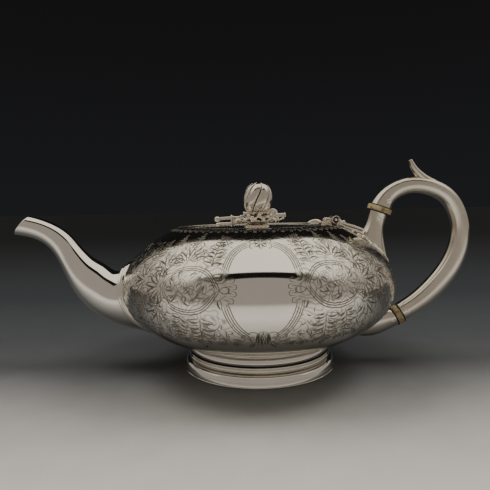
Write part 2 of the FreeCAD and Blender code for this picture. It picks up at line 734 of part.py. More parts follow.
def build():
    form = bowl_form("bowl_form", as_size(0))
    collar_form = bowl_form("bowl_collar_form", d.collar_lift)
    leaf_form = bowl_form("bowl_leaf_form", d.socket_leaf_lift)
    reed, rim = make_foot_wires()
    foot = cut("foot_ring", cut("foot_ring_under_bowl", make_foot_ring(), form), reed)
    spout, spout_outer = make_spout(form)
    collar = make_spout_collar(form, collar_form, spout_outer)
    pins = make_pins()
    upper_ring = make_insulator("upper_insulator", UPPER_JOINT, d.upper_ring_radius, d.upper_ring_depth)
    lower_ring = make_insulator("lower_insulator", LOWER_JOINT, d.lower_ring_radius, d.lower_ring_depth)
    rings = joined("both_insulators", [upper_ring, lower_ring])
    upper_loft = lofted("upper_socket_form", sections_of("upper", len(UPPER_SOCKET_SECTIONS)))
    lower_loft = lofted("lower_socket_form", sections_of("lower", len(LOWER_SOCKET_SECTIONS)))
    fittings = joined("socket_fittings", [rings, pins])
    upper_socket = cut("upper_socket", cut("upper_socket_bored", upper_loft, fittings), form)
    lower_socket = cut("lower_socket", cut("lower_socket_bored", lower_loft, fittings), form)
    tube, handle_outer = make_handle()
    handle = cut("handle", tube, fittings)
    arm, lid_leaf, hinge_pin = make_hinge(form)
    socket_leaf = make_socket_leaf(form, leaf_form, joined("leaf_neighbours", [upper_loft, arm]))
    plate, bezel = make_lid()
    bud = cut("hinge_bud", make_hinge_bud(), plate)
    fruit, pedestal, stud, washer, nut = make_finial()
    leaves = make_finial_leaves()
    pedestal = cut("finial_pedestal", pedestal, leaves)
    stems = make_finial_stems(joined("stem_neighbours", [leaves, pedestal]))
    return [
        make_body_shell(), make_mouth_bezel(), foot, cut("foot_reed", reed, form), rim, spout, collar,
        upper_socket, socket_leaf, lower_socket, cut("upper_insulator", upper_ring, pins),
        cut("lower_insulator", lower_ring, pins), handle, make_thumb_piece(handle_outer), pins,
        cut("hinge_arm", arm, upper_loft), hinge_pin, cut("lid_plate", plate, lid_leaf), bezel, lid_leaf, bud,
        fruit, pedestal, leaves, stems, stud, washer, nut,
    ]


def check_all(nodes):
    """Stop if any object failed, or a sub-part has no valid shape."""
    for item in doc.Objects:
        if "Invalid" in item.State or "Error" in item.State:
            raise RuntimeError(f"{item.Name} failed: {item.State}")
    for node in nodes:
        if node.Shape.isNull() or not node.Shape.isValid():
            raise RuntimeError(f"{node.Label} has no valid shape")


doc = FreeCAD.newDocument("teapot")
d = write_sheet()
NODES = build()
doc.recompute()
check_all(NODES)
os.makedirs("parts", exist_ok=True)
for node in NODES:
    node.Shape.exportStep(f"parts/{node.Label}.step")
    print(f"{node.Label:20s} solids {len(node.Shape.Solids)} volume {node.Shape.Volume:9.1f}")
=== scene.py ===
import math
import random

import bmesh
import bpy
import numpy as np
from mathutils import Matrix, Vector


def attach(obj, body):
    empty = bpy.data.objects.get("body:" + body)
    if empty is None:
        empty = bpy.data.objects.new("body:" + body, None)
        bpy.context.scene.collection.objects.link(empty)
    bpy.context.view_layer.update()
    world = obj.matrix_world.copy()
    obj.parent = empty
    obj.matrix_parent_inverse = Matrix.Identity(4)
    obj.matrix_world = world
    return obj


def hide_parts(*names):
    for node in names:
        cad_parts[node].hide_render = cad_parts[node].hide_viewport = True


# A low round silver teapot on a moulded foot. +Z is up, the handle is towards +X and the spout towards -X,
# and the side with the engraved cartouche that the camera sees is towards -Y.
# Lengths below are in millimetres and angles in degrees; MM turns them into the frame's metres.

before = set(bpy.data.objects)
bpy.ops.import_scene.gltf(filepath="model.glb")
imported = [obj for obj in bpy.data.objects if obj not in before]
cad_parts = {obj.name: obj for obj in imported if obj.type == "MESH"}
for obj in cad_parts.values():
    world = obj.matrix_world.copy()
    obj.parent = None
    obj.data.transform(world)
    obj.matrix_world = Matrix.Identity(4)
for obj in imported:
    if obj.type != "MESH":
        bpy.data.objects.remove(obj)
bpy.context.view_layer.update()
MM = 0.001
POT, LID = "pot", "lid"

# The bowl's outline: tangent arcs as centre radius, centre height, arc radius.
GIRTH = (56, 50.8, 25)
SHOULDER = (22.82, 20.4, 70)
BELLY = (34.86, 73.47, 56)
BASE_CENTRE, BASE_ARC = 149.89, 140
SHOULDER_TURN, BELLY_TURN, BASE_TURN = 42.5, 47, 65.48
MOUTH_RADIUS, MOUTH_HEIGHT = 48, 85.71
WIDEST = 81
WALL = 0.7

# Sections along a curved tube: centre x, centre z, lean from +Z towards +X, height across, width across.
SPOUT_SECTIONS = [
    (-50, 44.5, -90, 40, 30), (-64, 43.6, -89, 43.6, 34), (-79, 43, -87, 37.5, 32),
    (-87.5, 43.4, -84, 32, 28.6), (-98.5, 49.5, -74, 29.4, 25.4), (-106.9, 57.3, -62, 24, 21.4),
    (-111.9, 64.6, -52, 19.2, 18), (-115.9, 71.4, -44, 16, 15.6), (-119.7, 77, -43, 14.8, 14.6),
    (-124.4, 81.5, -52, 14, 13.8), (-131, 85.3, -68, 13.2, 13), (-139, 87.9, -78, 12.8, 12.6),
    (-150, 89.8, -80.5, 12.7, 12.5),
]
HANDLE_SECTIONS = [
    (75.8, 95.4, 20.7, 13.2, 13.2), (78.1, 99.8, 33, 11.4, 11.4), (83.9, 105.1, 62, 10.3, 10.3),
    (93.1, 108.3, 84, 10, 10), (104.8, 107.2, 107, 10, 10), (115.9, 101.3, 135, 10.2, 10.2),
    (122.8, 89.8, 165, 10.4, 10.4), (124.2, 75, 185, 11.2, 11.2), (119.6, 60.6, 207, 12.2, 12.2),
    (108.6, 45.8, 224, 12.4, 12.4), (97.6, 36.1, 235, 11.9, 11.9), (88, 30.2, 242, 11.4, 11.4),
]
UPPER_SOCKET_SECTIONS = [
    (69.0, 66, 12, 22, 20), (69.6, 75.6, 12, 16.6, 15), (71.5, 82, 14, 12.2, 11.6),
    (73.2, 88, 18, 10.6, 10.4), (74.48, 92.26, 20.7, 11, 11),
]
LOWER_SOCKET_SECTIONS = [
    (50.5, 21.4, 106, 3.4, 2.6), (58.5, 21.2, 96, 8.6, 5.4), (67.5, 22, 82, 13.4, 7.6),
    (77.6, 25.4, 72, 13.6, 9.6), (84.3, 27.5, 62, 11, 11),
]
# The middle of each insulator: x, z and lean. Each pin: x, z and half its length.
UPPER_JOINT = (75.1, 93.9, 20.7)
LOWER_JOINT = (86.2, 28.5, 62)
PINS = [(79.4, 98.6, 5.9), (73.5, 88.4, 5.3), (82.2, 26.6, 5.3), (90.6, 31.6, 5.8)]
LIP_TOP, LIP_BOTTOM = (-138.4, 94.1), (-148.1, 83)
HINGE_X, HINGE_Z = 47.3, 88.4


# ---------------------------------------------------------------- shapes

def show(name, data):
    """A new object in the scene."""
    item = bpy.data.objects.new(name, data)
    bpy.context.scene.collection.objects.link(item)
    return item


class Parts:
    """Points and faces of one piece, in millimetres, gathered from several closed shapes."""

    def __init__(self):
        self.verts = []
        self.faces = []

    def grid(self, rows, looped=False, capped=False):
        """A skin over rings of points; looped joins the last ring to the first, capped closes both ends."""
        first, count = len(self.verts), len(rows[0])
        self.verts.extend(tuple(point) for row in rows for point in row)
        for row in range(len(rows) if looped else len(rows) - 1):
            here = first + row * count
            above = first + (row + 1) % len(rows) * count
            for column in range(count):
                right = (column + 1) % count
                self.faces.append((here + column, here + right, above + right, above + column))
        if capped:
            last = first + (len(rows) - 1) * count
            self.faces.append(tuple(range(first, first + count)))
            self.faces.append(tuple(range(last, last + count)))

    def mesh(self, name):
        mesh = bpy.data.meshes.new(name)
        mesh.from_pydata([(x * MM, y * MM, z * MM) for x, y, z in self.verts], [], self.faces)
        return mesh

    def piece(self, name, material, body, slot, *replaced, flat=False):
        """The finished piece: welded, dressed and riding on its body."""
        mesh = self.mesh(name)
        work = bmesh.new()
        work.from_mesh(mesh)
        bmesh.ops.remove_doubles(work, verts=work.verts, dist=1e-7)
        bmesh.ops.recalc_face_normals(work, faces=work.faces)
        work.to_mesh(mesh)
        work.free()
        mesh.polygons.foreach_set("use_smooth", [not flat] * len(mesh.polygons))
        mesh.materials.append(material)
        piece = show(name, mesh)
        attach(piece, body)
        if replaced:
            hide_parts(*replaced)
        return piece


def turns_round(count):
    return [2 * math.pi * step / count for step in range(count)]


def circle(centre, radius, turns):
    """Points in a plane at a radius round a centre."""
    return [(centre[0] + radius * math.cos(a), centre[1] + radius * math.sin(a)) for a in turns]


def lathe_rows(profile, count):
    """Rings of points for a profile of (radius, height) turned about Z."""
    return [[(radius * math.cos(turn), radius * math.sin(turn), height) for turn in turns_round(count)]
            for radius, height in profile]


def arc_profile(centre_r, centre_z, radius, start, end, count):
    """Points on an arc in the (radius, height) plane, from one angle to another."""
    return circle((centre_r, centre_z), radius,
                  [math.radians(start + (end - start) * step / count) for step in range(count + 1)])


def rounded(profile, radius, steps=5):
    """An open profile with each inner corner rounded off by a fillet of about that radius."""
    result = [profile[0]]
    for before, corner, after in zip(profile, profile[1:], profile[2:]):
        a, b, c = (np.array(point, float) for point in (before, corner, after))
        sides = []
        for other in (a, c):
            reach = np.linalg.norm(other - b)
            sides.append(b + (other - b) / max(reach, 1e-6) * min(radius, 0.45 * reach))
        for step in range(steps + 1):
            t = step / steps
            result.append(tuple((1 - t) ** 2 * sides[0] + 2 * t * (1 - t) * b + t * t * sides[1]))
    return result + [profile[-1]]


class Path:
    """A smooth curve through rows of numbers, a natural cubic spline over the distance between them."""
    SAMPLES = 3000

    def __init__(self, rows, spatial=2):
        self.rows = np.array(rows, float)
        steps = np.linalg.norm(np.diff(self.rows[:, :spatial], axis=0), axis=1)
        self.knots = np.concatenate([[0], np.cumsum(steps)])
        system = np.eye(len(rows))
        right = np.zeros_like(self.rows)
        for i in range(1, len(rows) - 1):
            before, after = steps[i - 1], steps[i]
            system[i, i - 1:i + 2] = before, 2 * (before + after), after
            slope = (self.rows[i + 1] - self.rows[i]) / after
            right[i] = 6 * (slope - (self.rows[i] - self.rows[i - 1]) / before)
        self.bends = np.linalg.solve(system, right)
        self.length = float(self.knots[-1])
        self.step = self.length / self.SAMPLES
        self.table = [self.exact(self.step * number).tolist() for number in range(self.SAMPLES + 2)]

    def at(self, distance):
        """The row of numbers at a distance along the curve, read from a fine table."""
        place = max(0.0, distance) / self.step
        number = min(int(place), self.SAMPLES)
        share = place - number
        return [low + (high - low) * share for low, high in zip(self.table[number], self.table[number + 1])]

    def exact(self, distance):
        i = int(np.clip(np.searchsorted(self.knots, distance) - 1, 0, len(self.knots) - 2))
        span = self.knots[i + 1] - self.knots[i]
        a = (self.knots[i + 1] - distance) / span
        b = 1 - a
        return (a * self.rows[i] + b * self.rows[i + 1]
                + ((a ** 3 - a) * self.bends[i] + (b ** 3 - b) * self.bends[i + 1]) * span ** 2 / 6)


def tube_point(path, distance, turn, grow=0.0):
    """A point on a tube's skin: distance along it, turn round it."""
    x, z, lean, tall, wide = path.at(distance)
    lean = math.radians(lean)
    across = (tall / 2 + grow) * math.cos(turn)
    return (x + math.cos(lean) * across, (wide / 2 + grow) * math.sin(turn), z - math.sin(lean) * across)


def bowl_radius(height):
    """The bowl's outer radius at a height."""
    if height > GIRTH[1] + GIRTH[2] * math.sin(math.radians(SHOULDER_TURN)):
        r, z, arc = SHOULDER
    elif height > GIRTH[1] - GIRTH[2] * math.sin(math.radians(BELLY_TURN)):
        r, z, arc = GIRTH
    else:
        r, z, arc = BELLY
    return r + math.sqrt(max(0.0, arc * arc - (height - z) ** 2))


def bowl_gap(point):
    """How far a point is outside the bowl, measured level; below 0 is inside it."""
    return math.hypot(point[0], point[1]) - bowl_radius(min(point[2], MOUTH_HEIGHT))


def bowl_place(bearing, climb, lift=0.0):
    """A point over the bowl: bearing from the front towards the handle in degrees, climb in millimetres along
    the outline from the widest ring, and lift off the surface."""
    low_turn, high_turn = -math.radians(BELLY_TURN), math.radians(SHOULDER_TURN)
    turn = climb / GIRTH[2]
    if turn > high_turn:
        centre_r, centre_z, arc = SHOULDER
        turn = high_turn + (climb - GIRTH[2] * high_turn) / arc
    elif turn < low_turn:
        centre_r, centre_z, arc = BELLY
        turn = low_turn + (climb - GIRTH[2] * low_turn) / arc
    else:
        centre_r, centre_z, arc = GIRTH
    radius = centre_r + (arc + lift) * math.cos(turn)
    angle = math.radians(bearing)
    return (radius * math.sin(angle), -radius * math.cos(angle), centre_z + (arc + lift) * math.sin(turn))


CLIMBS = np.linspace(-60, 52, 600)
CLIMB_HEIGHTS = [bowl_place(0, climb)[2] for climb in CLIMBS]


def climb_at(height):
    """How far along the bowl's outline a height lies above the widest ring."""
    return float(np.interp(height, CLIMB_HEIGHTS, CLIMBS))


def last_crossing(measure, low, high, steps=160):
    """The last distance between low and high where the measure turns from negative to positive."""
    values = [low + (high - low) * step / steps for step in range(steps + 1)]
    start = low
    for before, after in zip(values, values[1:]):
        if measure(before) < 0 <= measure(after):
            start = before
    end = start + (high - low) / steps
    for _ in range(24):
        middle = (start + end) / 2
        if measure(middle) < 0:
            start = middle
        else:
            end = middle
    return end


# ---------------------------------------------------------------- materials

def fill(tree, item, inputs):
    """Each input of a node linked to a socket, or set to a value."""
    for key, value in inputs.items():
        if isinstance(value, bpy.types.NodeSocket):
            tree.links.new(value, item.inputs[key])
        else:
            item.inputs[key].default_value = value


def node(tree, kind, inputs=None, **settings):
    """A shader node with its settings and inputs."""
    item = tree.nodes.new(kind)
    for key, value in settings.items():
        setattr(item, key, value)
    fill(tree, item, inputs or {})
    return item


def ramp(tree, factor, stops):
    item = node(tree, "ShaderNodeValToRGB", {"Fac": factor})
    elements = item.color_ramp.elements
    elements[0].position, elements[0].color = stops[0][0], (*stops[0][1], 1)
    elements[1].position, elements[1].color = stops[-1][0], (*stops[-1][1], 1)
    for place, colour in stops[1:-1]:
        elements.new(place).color = (*colour, 1)
    return item.outputs["Color"]


def grey(value):
    return (value, value, value)


def math_node(tree, operation, first, second):
    return node(tree, "ShaderNodeMath", {0: first, 1: second}, operation=operation).outputs[0]


def mix(tree, blend, share, first, second):
    """Two colours blended by a share."""
    item = node(tree, "ShaderNodeMix", {}, data_type="RGBA", blend_type=blend)
    fill(tree, item, {0: share, 6: first, 7: second})
    return item.outputs[2]


def noise(tree, place, scale, detail, roughness=0.5):
    return node(tree, "ShaderNodeTexNoise", {"Vector": place, "Scale": scale, "Detail": detail,
                                             "Roughness": roughness}).outputs["Fac"]


def bump(tree, height, strength):
    return node(tree, "ShaderNodeBump", {"Height": height, "Strength": strength,
                                         "Distance": 0.1 * MM}).outputs["Normal"]


def new_material(name):
    """An empty material, and its tree, shader and the object's own coordinates."""
    material = bpy.data.materials.new(name)
    material.use_nodes = True
    tree = material.node_tree
    tree.nodes.clear()
    shader = node(tree, "ShaderNodeBsdfPrincipled")
    node(tree, "ShaderNodeOutputMaterial", {"Surface": shader.outputs["BSDF"]})
    return material, tree, shader, node(tree, "ShaderNodeTexCoord").outputs["Object"]


def tarnish(tree, place, light, dark):
    """Faint clouds of tarnish in silver."""
    return ramp(tree, noise(tree, place, 38, 4, 0.6), [(0.3, dark), (0.68, light)])


def polish(tree, place, smooth, rough):
    """Softly uneven polish."""
    grain = noise(tree, place, 160, 5, 0.65)
    return node(tree, "ShaderNodeMapRange", {"Value": grain, "From Min": 0.3, "From Max": 0.75,
                                             "To Min": smooth, "To Max": rough}).outputs["Result"]


def silver_material(name, light, dark, smooth, rough, dent, crevice=0.0):
    """Polished silver with hairline scratches; crevice above 0 darkens the hollows of cast work."""
    material, tree, shader, place = new_material(name)
    tone = tarnish(tree, place, light, dark)
    if crevice:
        bend = node(tree, "ShaderNodeNewGeometry").outputs["Pointiness"]
        hollow = ramp(tree, bend, [(0.5 - crevice, grey(0.16)), (0.5 + crevice * 0.2, grey(1))])
        tone = mix(tree, "MULTIPLY", 1, tone, hollow)
    streak = node(tree, "ShaderNodeMapping", {"Vector": place, "Scale": (900, 900, 5200)}).outputs["Vector"]
    fill(tree, shader, {"Base Color": tone, "Metallic": 1, "Roughness": polish(tree, place, smooth, rough),
                        "Normal": bump(tree, noise(tree, streak, 1, 2), dent)})
    return material


def chased_material(name, light, dark, smooth, rough):
    """The bowl's silver: a mirror where the attribute chased is 0, and worked with a graver where it is 1."""
    material, tree, shader, place = new_material(name)
    mask = node(tree, "ShaderNodeAttribute", {}, attribute_name="chased").outputs["Fac"]
    swirl = math_node(tree, "MULTIPLY", noise(tree, place, 120, 1.2, 0.4), 15)
    sweeps = math_node(tree, "PINGPONG", swirl, 1.0)
    lines = ramp(tree, sweeps, [(0.0, grey(0.42)), (0.24, grey(0.84)), (0.6, grey(0.98))])
    plain = ramp(tree, mask, [(0, grey(1)), (1, grey(0))])
    worked = mix(tree, "MIX", plain, lines, (1, 1, 1, 1))
    extra = math_node(tree, "MULTIPLY", mask, 0.11)
    fill(tree, shader, {"Base Color": mix(tree, "MULTIPLY", 1, tarnish(tree, place, light, dark), worked),
                        "Metallic": 1,
                        "Roughness": math_node(tree, "ADD", polish(tree, place, smooth, rough), extra),
                        "Normal": bump(tree, math_node(tree, "MULTIPLY", sweeps, mask), 0.4)})
    return material


def bone_material():
    """Yellowed bone: brown mottling, fine grain and a waxy surface."""
    material, tree, shader, place = new_material("bone")
    tone = ramp(tree, noise(tree, place, 330, 6, 0.7), [
        (0.3, (0.1, 0.055, 0.018)), (0.44, (0.32, 0.235, 0.1)), (0.55, (0.5, 0.42, 0.235)),
        (0.72, (0.64, 0.57, 0.38))])
    fill(tree, shader, {"Base Color": tone, "Roughness": 0.38,
                        "Normal": bump(tree, noise(tree, place, 1400, 3), 0.25)})
    return material


def gap_material():
    """A near-black colour with faint noise for narrow gaps: painted shade, and beside an insulator partly
    also the joint's own dark filler.
    """
    material, tree, shader, place = new_material("dark_gap_paint")
    gap_tone = ramp(tree, noise(tree, place, 900, 3), [(0.35, grey(0.006)), (0.75, grey(0.03))])
    fill(tree, shader, {"Base Color": gap_tone, "Roughness": 0.7})
    return material


BRIGHT = ((0.94, 0.91, 0.85), (0.87, 0.84, 0.78), 0.035, 0.085)
MIRROR = silver_material("silver_mirror", *BRIGHT, 0.02)
POLISHED = silver_material("silver_polished", (0.93, 0.89, 0.82), (0.82, 0.78, 0.71), 0.06, 0.15, 0.05)
# The cut silver's dark base colour is partly tarnish in the cuts and partly painted shade: the strokes are
# raised slivers, and the dark colour stands in for the shade inside an engraved groove.
CUT_OXIDE_AND_SHADE = silver_material("silver_cut_oxide_and_shade", (0.3, 0.275, 0.235), (0.16, 0.145, 0.12), 0.12, 0.3, 0.1)
CHASED = chased_material("silver_chased", *BRIGHT)
CAST = silver_material("silver_cast", (0.93, 0.88, 0.8), (0.76, 0.7, 0.61), 0.09, 0.22, 0.12, crevice=0.07)
WORN = silver_material("silver_worn", (0.84, 0.79, 0.7), (0.68, 0.62, 0.53), 0.13, 0.27, 0.1)
INNER = silver_material("silver_inner", (0.7, 0.67, 0.62), (0.5, 0.46, 0.4), 0.22, 0.42, 0.2)
BONE = bone_material()
DARK_GAP = gap_material()


# ---------------------------------------------------------------- bowl and foot

def bowl_profile(offset=0.0, density=1.0):
    """The bowl's outline from the mouth down to the axis."""
    def steps(count):
        return max(4, int(count * density))
    mouth_turn = math.degrees(math.acos((MOUTH_RADIUS - SHOULDER[0]) / (SHOULDER[2] + offset)))
    profile = []
    for (centre_r, centre_z, arc), start, end, count in (
            (SHOULDER, mouth_turn, SHOULDER_TURN, 46), (GIRTH, SHOULDER_TURN, -BELLY_TURN, 64),
            (BELLY, -BELLY_TURN, -BASE_TURN, 20)):
        points = arc_profile(centre_r, centre_z, arc + offset, start, end, steps(count))
        profile += points[1:] if profile else points
    edge = profile[-1][0]
    for step in range(1, steps(30) + 1):
        radius = edge * (1 - step / steps(30))
        profile.append((radius, BASE_CENTRE - math.sqrt((BASE_ARC + offset) ** 2 - radius ** 2)))
    return profile


def make_bowl():
    """The bowl: dull inside, and chased outside but for its shoulder, base, ends and the frame's field."""
    shell = Parts()
    shell.grid(lathe_rows(bowl_profile() + bowl_profile(-WALL, 0.5)[::-1], 320), looped=True)
    piece = shell.piece("bowl", CHASED, POT, "engraved_silver", "body_shell")
    cut_strainer(piece)
    chased = piece.data.attributes.new("chased", "FLOAT", "POINT")
    for number, vertex in enumerate(piece.data.vertices):
        x, y, z = (value / MM for value in vertex.co)
        u, v = WIDEST * math.atan2(x, abs(y)), climb_at(z)
        plain = in_frame(u, v, -3.4) or not -21 < v < 45 or abs(u) > 108
        chased.data[number].value = 0.0 if plain else min(1.0, max(0.22, (37 - v) / 9))
    piece.data.materials.append(INNER)
    middle = Vector((0, 0, 50 * MM))
    for face in piece.data.polygons:
        if face.normal.dot(face.center - middle) < 0:
            face.material_index = 1


def cut_strainer(piece):
    """Bore the round holes through the bowl's wall behind the spout: one, then rings of six and twelve."""
    drills = Parts()
    for ring, holes in ((0, 1), (1, 6), (2, 12)):
        for centre in circle((0, 45), 6 * ring, turns_round(holes)):
            hole = circle(centre, 1.5, turns_round(24))
            drills.grid([[(x, y, z) for y, z in hole] for x in (-84, -70)], capped=True)
    holder = show("drills", drills.mesh("drills"))
    bore = piece.modifiers.new("strainer", "BOOLEAN")
    bore.operation = "DIFFERENCE"
    bore.solver = "EXACT"
    bore.object = holder
    bored = bpy.data.meshes.new_from_object(piece.evaluated_get(bpy.context.evaluated_depsgraph_get()))
    piece.modifiers.clear()
    piece.data = bored
    bpy.data.objects.remove(holder)


def turned(name, profile, count, material, body, slot, *replaced, flat=False):
    """A closed ring turned about Z."""
    ring = Parts()
    ring.grid(lathe_rows(profile, count), looped=True)
    return ring.piece(name, material, body, slot, *replaced, flat=flat)


def make_mouth():
    """The ledge inside the mouth that the lid rests on."""
    profile = [(44, 84.2), (44, 80), (44.7, 80), (44.7, 83.5), (49.2, 83.5), (49.2, 84.2)]
    turned("mouth_ledge", profile, 200, POLISHED, POT, "polished_silver", "mouth_bezel", flat=True)


def make_foot():
    """The foot's mouldings: a sloping flange, two ribs and a band, hollow inside, with grooves darkened
    partly as tarnish and partly as painted shade.
    """
    outline = [(42.2, 3.2), (45.5, 3.2), (45.59, 3.22), (45.57, 3.3), (45.5, 3.55), (45.2, 4.6), (44.75, 5.8),
               (44.1, 6.4), (43.0, 6.75)]
    outline += rounded([(42.2, 6.9), (41.3, 7.1), (41.3, 7.5)], 0.3)[1:]
    outline += arc_profile(41.9, 8.5, 1.15, -60, 60, 12)
    outline += arc_profile(42.0, 10.0, 0.6, -60, 70, 8)
    outline += rounded([(41.6, 10.8), (40.9, 11.0), (40.9, 11.4), (41.5, 11.6)], 0.2)[1:-1]
    outline += [(42.2, 11.65), (42.55, 11.9), (42.35, 13.0), (42.0, 14.1), (41.6, 14.6), (41.0, 14.8)]
    outline += [(40.4, 15.4), (38.6, 15.4), (39.4, 9)]
    moulding = turned("foot_moulding", outline, 288, MIRROR, POT, "polished_silver", "foot_ring")
    moulding.data.materials.append(CUT_OXIDE_AND_SHADE)
    # The faces deep in the two grooves take the dark cut silver: tarnish there, and painted shade of the
    # recesses.
    for face in moulding.data.polygons:
        radius, height = math.hypot(face.center.x, face.center.y) / MM, face.center.z / MM
        if radius < 41.9 and (6.7 < height < 7.6 or 10.7 < height < 11.7):
            face.material_index = 1
    rim = rounded([(42.6, 1.6), (42.6, 0), (45.7, 0), (45.95, 0.2), (45.95, 1.0), (45.7, 1.2), (46.0, 1.45),
                   (45.7, 2.8), (45.62, 3.1), (45.59, 3.18), (45.5, 3.2), (42.6, 3.2), (42.6, 1.6)], 0.1)
    turned("foot_rim", rim[:-1], 288, MIRROR, POT, "polished_silver", "foot_rim_wire")
    reed = arc_profile(41.3, 16.15, 0.9, -100, 100, 12) + [(40, 17), (40, 15.4)]
    turned("foot_reed_wire", reed, 288, POLISHED, POT, "polished_silver", "foot_reed")


# ---------------------------------------------------------------- spout

def lip_gap(point):
    """How far a point is past the spout's slanting lip."""
    along_x, along_z = LIP_TOP[0] - LIP_BOTTOM[0], LIP_TOP[1] - LIP_BOTTOM[1]
    across = (point[2] - LIP_BOTTOM[1]) * along_x - (point[0] - LIP_BOTTOM[0]) * along_z
    return across / math.hypot(along_x, along_z)


def tube_columns(path, turns, grow, rows, end_gap=None):
    """Rows of rings from the bowl's surface to an end, with each column trimmed to its own limits."""
    limits = []
    for turn in turns:
        start = last_crossing(lambda t: bowl_gap(tube_point(path, t, turn, grow)), 0, path.length)
        end = path.length
        if end_gap:
            end = last_crossing(lambda t: end_gap(tube_point(path, t, turn, grow)), start, path.length)
        limits.append((start, end))
    return [[tube_point(path, start + (end - start) * (row / rows), turn, grow)
             for turn, (start, end) in zip(turns, limits)] for row in range(rows + 1)]


def make_spout():
    path = Path(SPOUT_SECTIONS)
    outer = tube_columns(path, turns_round(96), 0, 150, lip_gap)
    inner = tube_columns(path, turns_round(96), -1, 80, lip_gap)
    lip_swell = np.array((-0.34, 0, 0.2))
    middle = [((np.array(a) + np.array(b)) / 2 + lip_swell).tolist() for a, b in zip(outer[-1], inner[-1])]
    spout = Parts()
    spout.grid(outer + [middle] + inner[::-1], looped=True)
    spout.piece("spout_tube", MIRROR, POT, "polished_silver", "spout")


def make_collar():
    """The moulding round the spout's root: a hollow curve down from the spout, then two beads on the bowl."""
    path = Path(SPOUT_SECTIONS)
    count = 180
    trace = []
    for turn in turns_round(count):
        at = last_crossing(lambda t: bowl_gap(tube_point(path, t, turn)), 0, path.length)
        x, y, z = tube_point(path, at, turn)
        trace.append((WIDEST * math.atan2(y, -x), climb_at(z)))
    root = [tuple(np.mean([trace[(number + step) % count] for step in range(-4, 5)], axis=0))
            for number in range(count)]
    profile = [(-0.8, -0.4), (-0.7, 3.7), (0, 3.6)]
    profile += [(0.2 + 1.2 * share, 1.75 + 1.8 * (1 - share) ** 1.8)
                for share in (0.1, 0.25, 0.4, 0.55, 0.7, 0.85, 1)]
    for centre, height in ((2.0, 1.55), (3.3, 0.7)):
        profile += [(centre + 0.62 * math.cos(math.radians(a)), height + 0.66 * math.sin(math.radians(a)))
                    for a in range(165, -16, -15)]
    rows = []
    for grow, lift in profile + [(4.0, -0.4)]:
        row = []
        for number, (u, v) in enumerate(root):
            along = np.array(root[(number + 1) % count]) - np.array(root[number - 1])
            out = np.array((along[1], -along[0])) / np.linalg.norm(along)
            if np.dot(out, (u, v - 2)) < 0:
                out = -out
            bearing = -90 - math.degrees((u + out[0] * grow) / WIDEST)
            row.append(bowl_place(bearing, v + out[1] * grow, lift))
        rows.append(row)
    collar = Parts()
    collar.grid(rows, looped=True)
    collar.piece("spout_root_moulding", POLISHED, POT, "cast_silver", "spout_collar")


# ---------------------------------------------------------------- handle and sockets

def make_handle():
    path = Path(HANDLE_SECTIONS)
    turns = turns_round(72)
    rows = [[tube_point(path, path.length * step / 220, turn) for turn in turns] for step in range(221)]
    first, last = ([tube_point(path, end, turn, -0.9) for turn in turns] for end in (0, path.length))
    handle = Parts()
    handle.grid([first] + rows + [last], capped=True)
    handle.piece("handle_loop", WORN, POT, "polished_silver", "handle")


def make_socket(name, sections, node_name):
    """A socket from the bowl up to the insulator, with a flat turned rim at its mouth."""
    path = Path(sections)
    turns = turns_round(72)
    rows = tube_columns(path, turns, 0, 70)
    rows += [[tube_point(path, path.length, turn, grow) for turn in turns] for grow in (-0.9, -1.9)]
    below = [tuple(np.array(point) * (0.985, 0.985, 1)) for point in rows[0]]
    socket = Parts()
    socket.grid([below] + rows, capped=True)
    socket.piece(name, WORN, POT, "polished_silver", node_name)


def placed(rows, joint):
    """Rings turned about Z, moved to a joint's centre and leant to its axis."""
    lean = Matrix.Rotation(math.radians(joint[2]), 3, "Y")
    centre = Vector((joint[0], 0, joint[1]))
    return [[tuple(lean @ Vector(point) + centre) for point in row] for row in rows]


def make_insulator(name, joint, radius, depth, node_name):
    half = depth / 2
    edge = rounded([(0.01, -half), (radius - 0.2, -half), (radius, 0), (radius - 0.2, half),
                    (0.01, half)], 0.5)
    disc = Parts()
    disc.grid(placed(lathe_rows(edge, 96), joint))
    disc.piece(name, BONE, POT, "bone", node_name)
    # Near-black rings on both faces of the bone disc: partly the joint's dark filler and partly painted shade
    # in the gap beside the disc.
    lines = Parts()
    for side in (-1, 1):
        outer, low, high = radius * 0.97, side * half - 0.4, side * half + 0.34
        profile = [(outer - 3, low), (outer, low), (outer, high), (outer - 3, high)]
        lines.grid(placed(lathe_rows(profile, 72), joint), looped=True)
    lines.piece(name + "_lines", DARK_GAP, POT, "bone")


def make_pins():
    """The heads of the four handle pins, on both sides: small domed discs with a turned edge."""
    pins = Parts()
    rings = lathe_rows([(0.01, 0.34), (0.7, 0.3), (1.0, 0.16), (1.12, 0.3), (1.4, 0.3), (1.62, 0.1),
                        (1.7, -0.9), (0.01, -0.9)], 28)
    for x, z, half in PINS:
        for side in (-1, 1):
            pins.grid([[(x + a, side * (half - 0.35 + c), z + b) for a, b, c in ring] for ring in rings])
    pins.piece("pin_heads", POLISHED, POT, "polished_silver", "handle_pins")


def make_lid():
    """The flush lid: slightly dished, with a groove inside its rolled edge and a hole for the stud."""
    top = rounded([(8, 83.8), (30, 84.52), (45.4, 85.03), (45.9, 84.9), (46.4, 85.34), (47.3, 85.36),
                   (47.7, 85.1), (47.7, 84.4), (40.2, 84.4)], 0.3, 3)
    turned("lid_top", [(1.6, 83.8)] + top + [(8, 83.1), (1.6, 83.1)], 288, MIRROR, LID, "engraved_silver",
           "lid_plate")


# ---------------------------------------------------------------- engraving

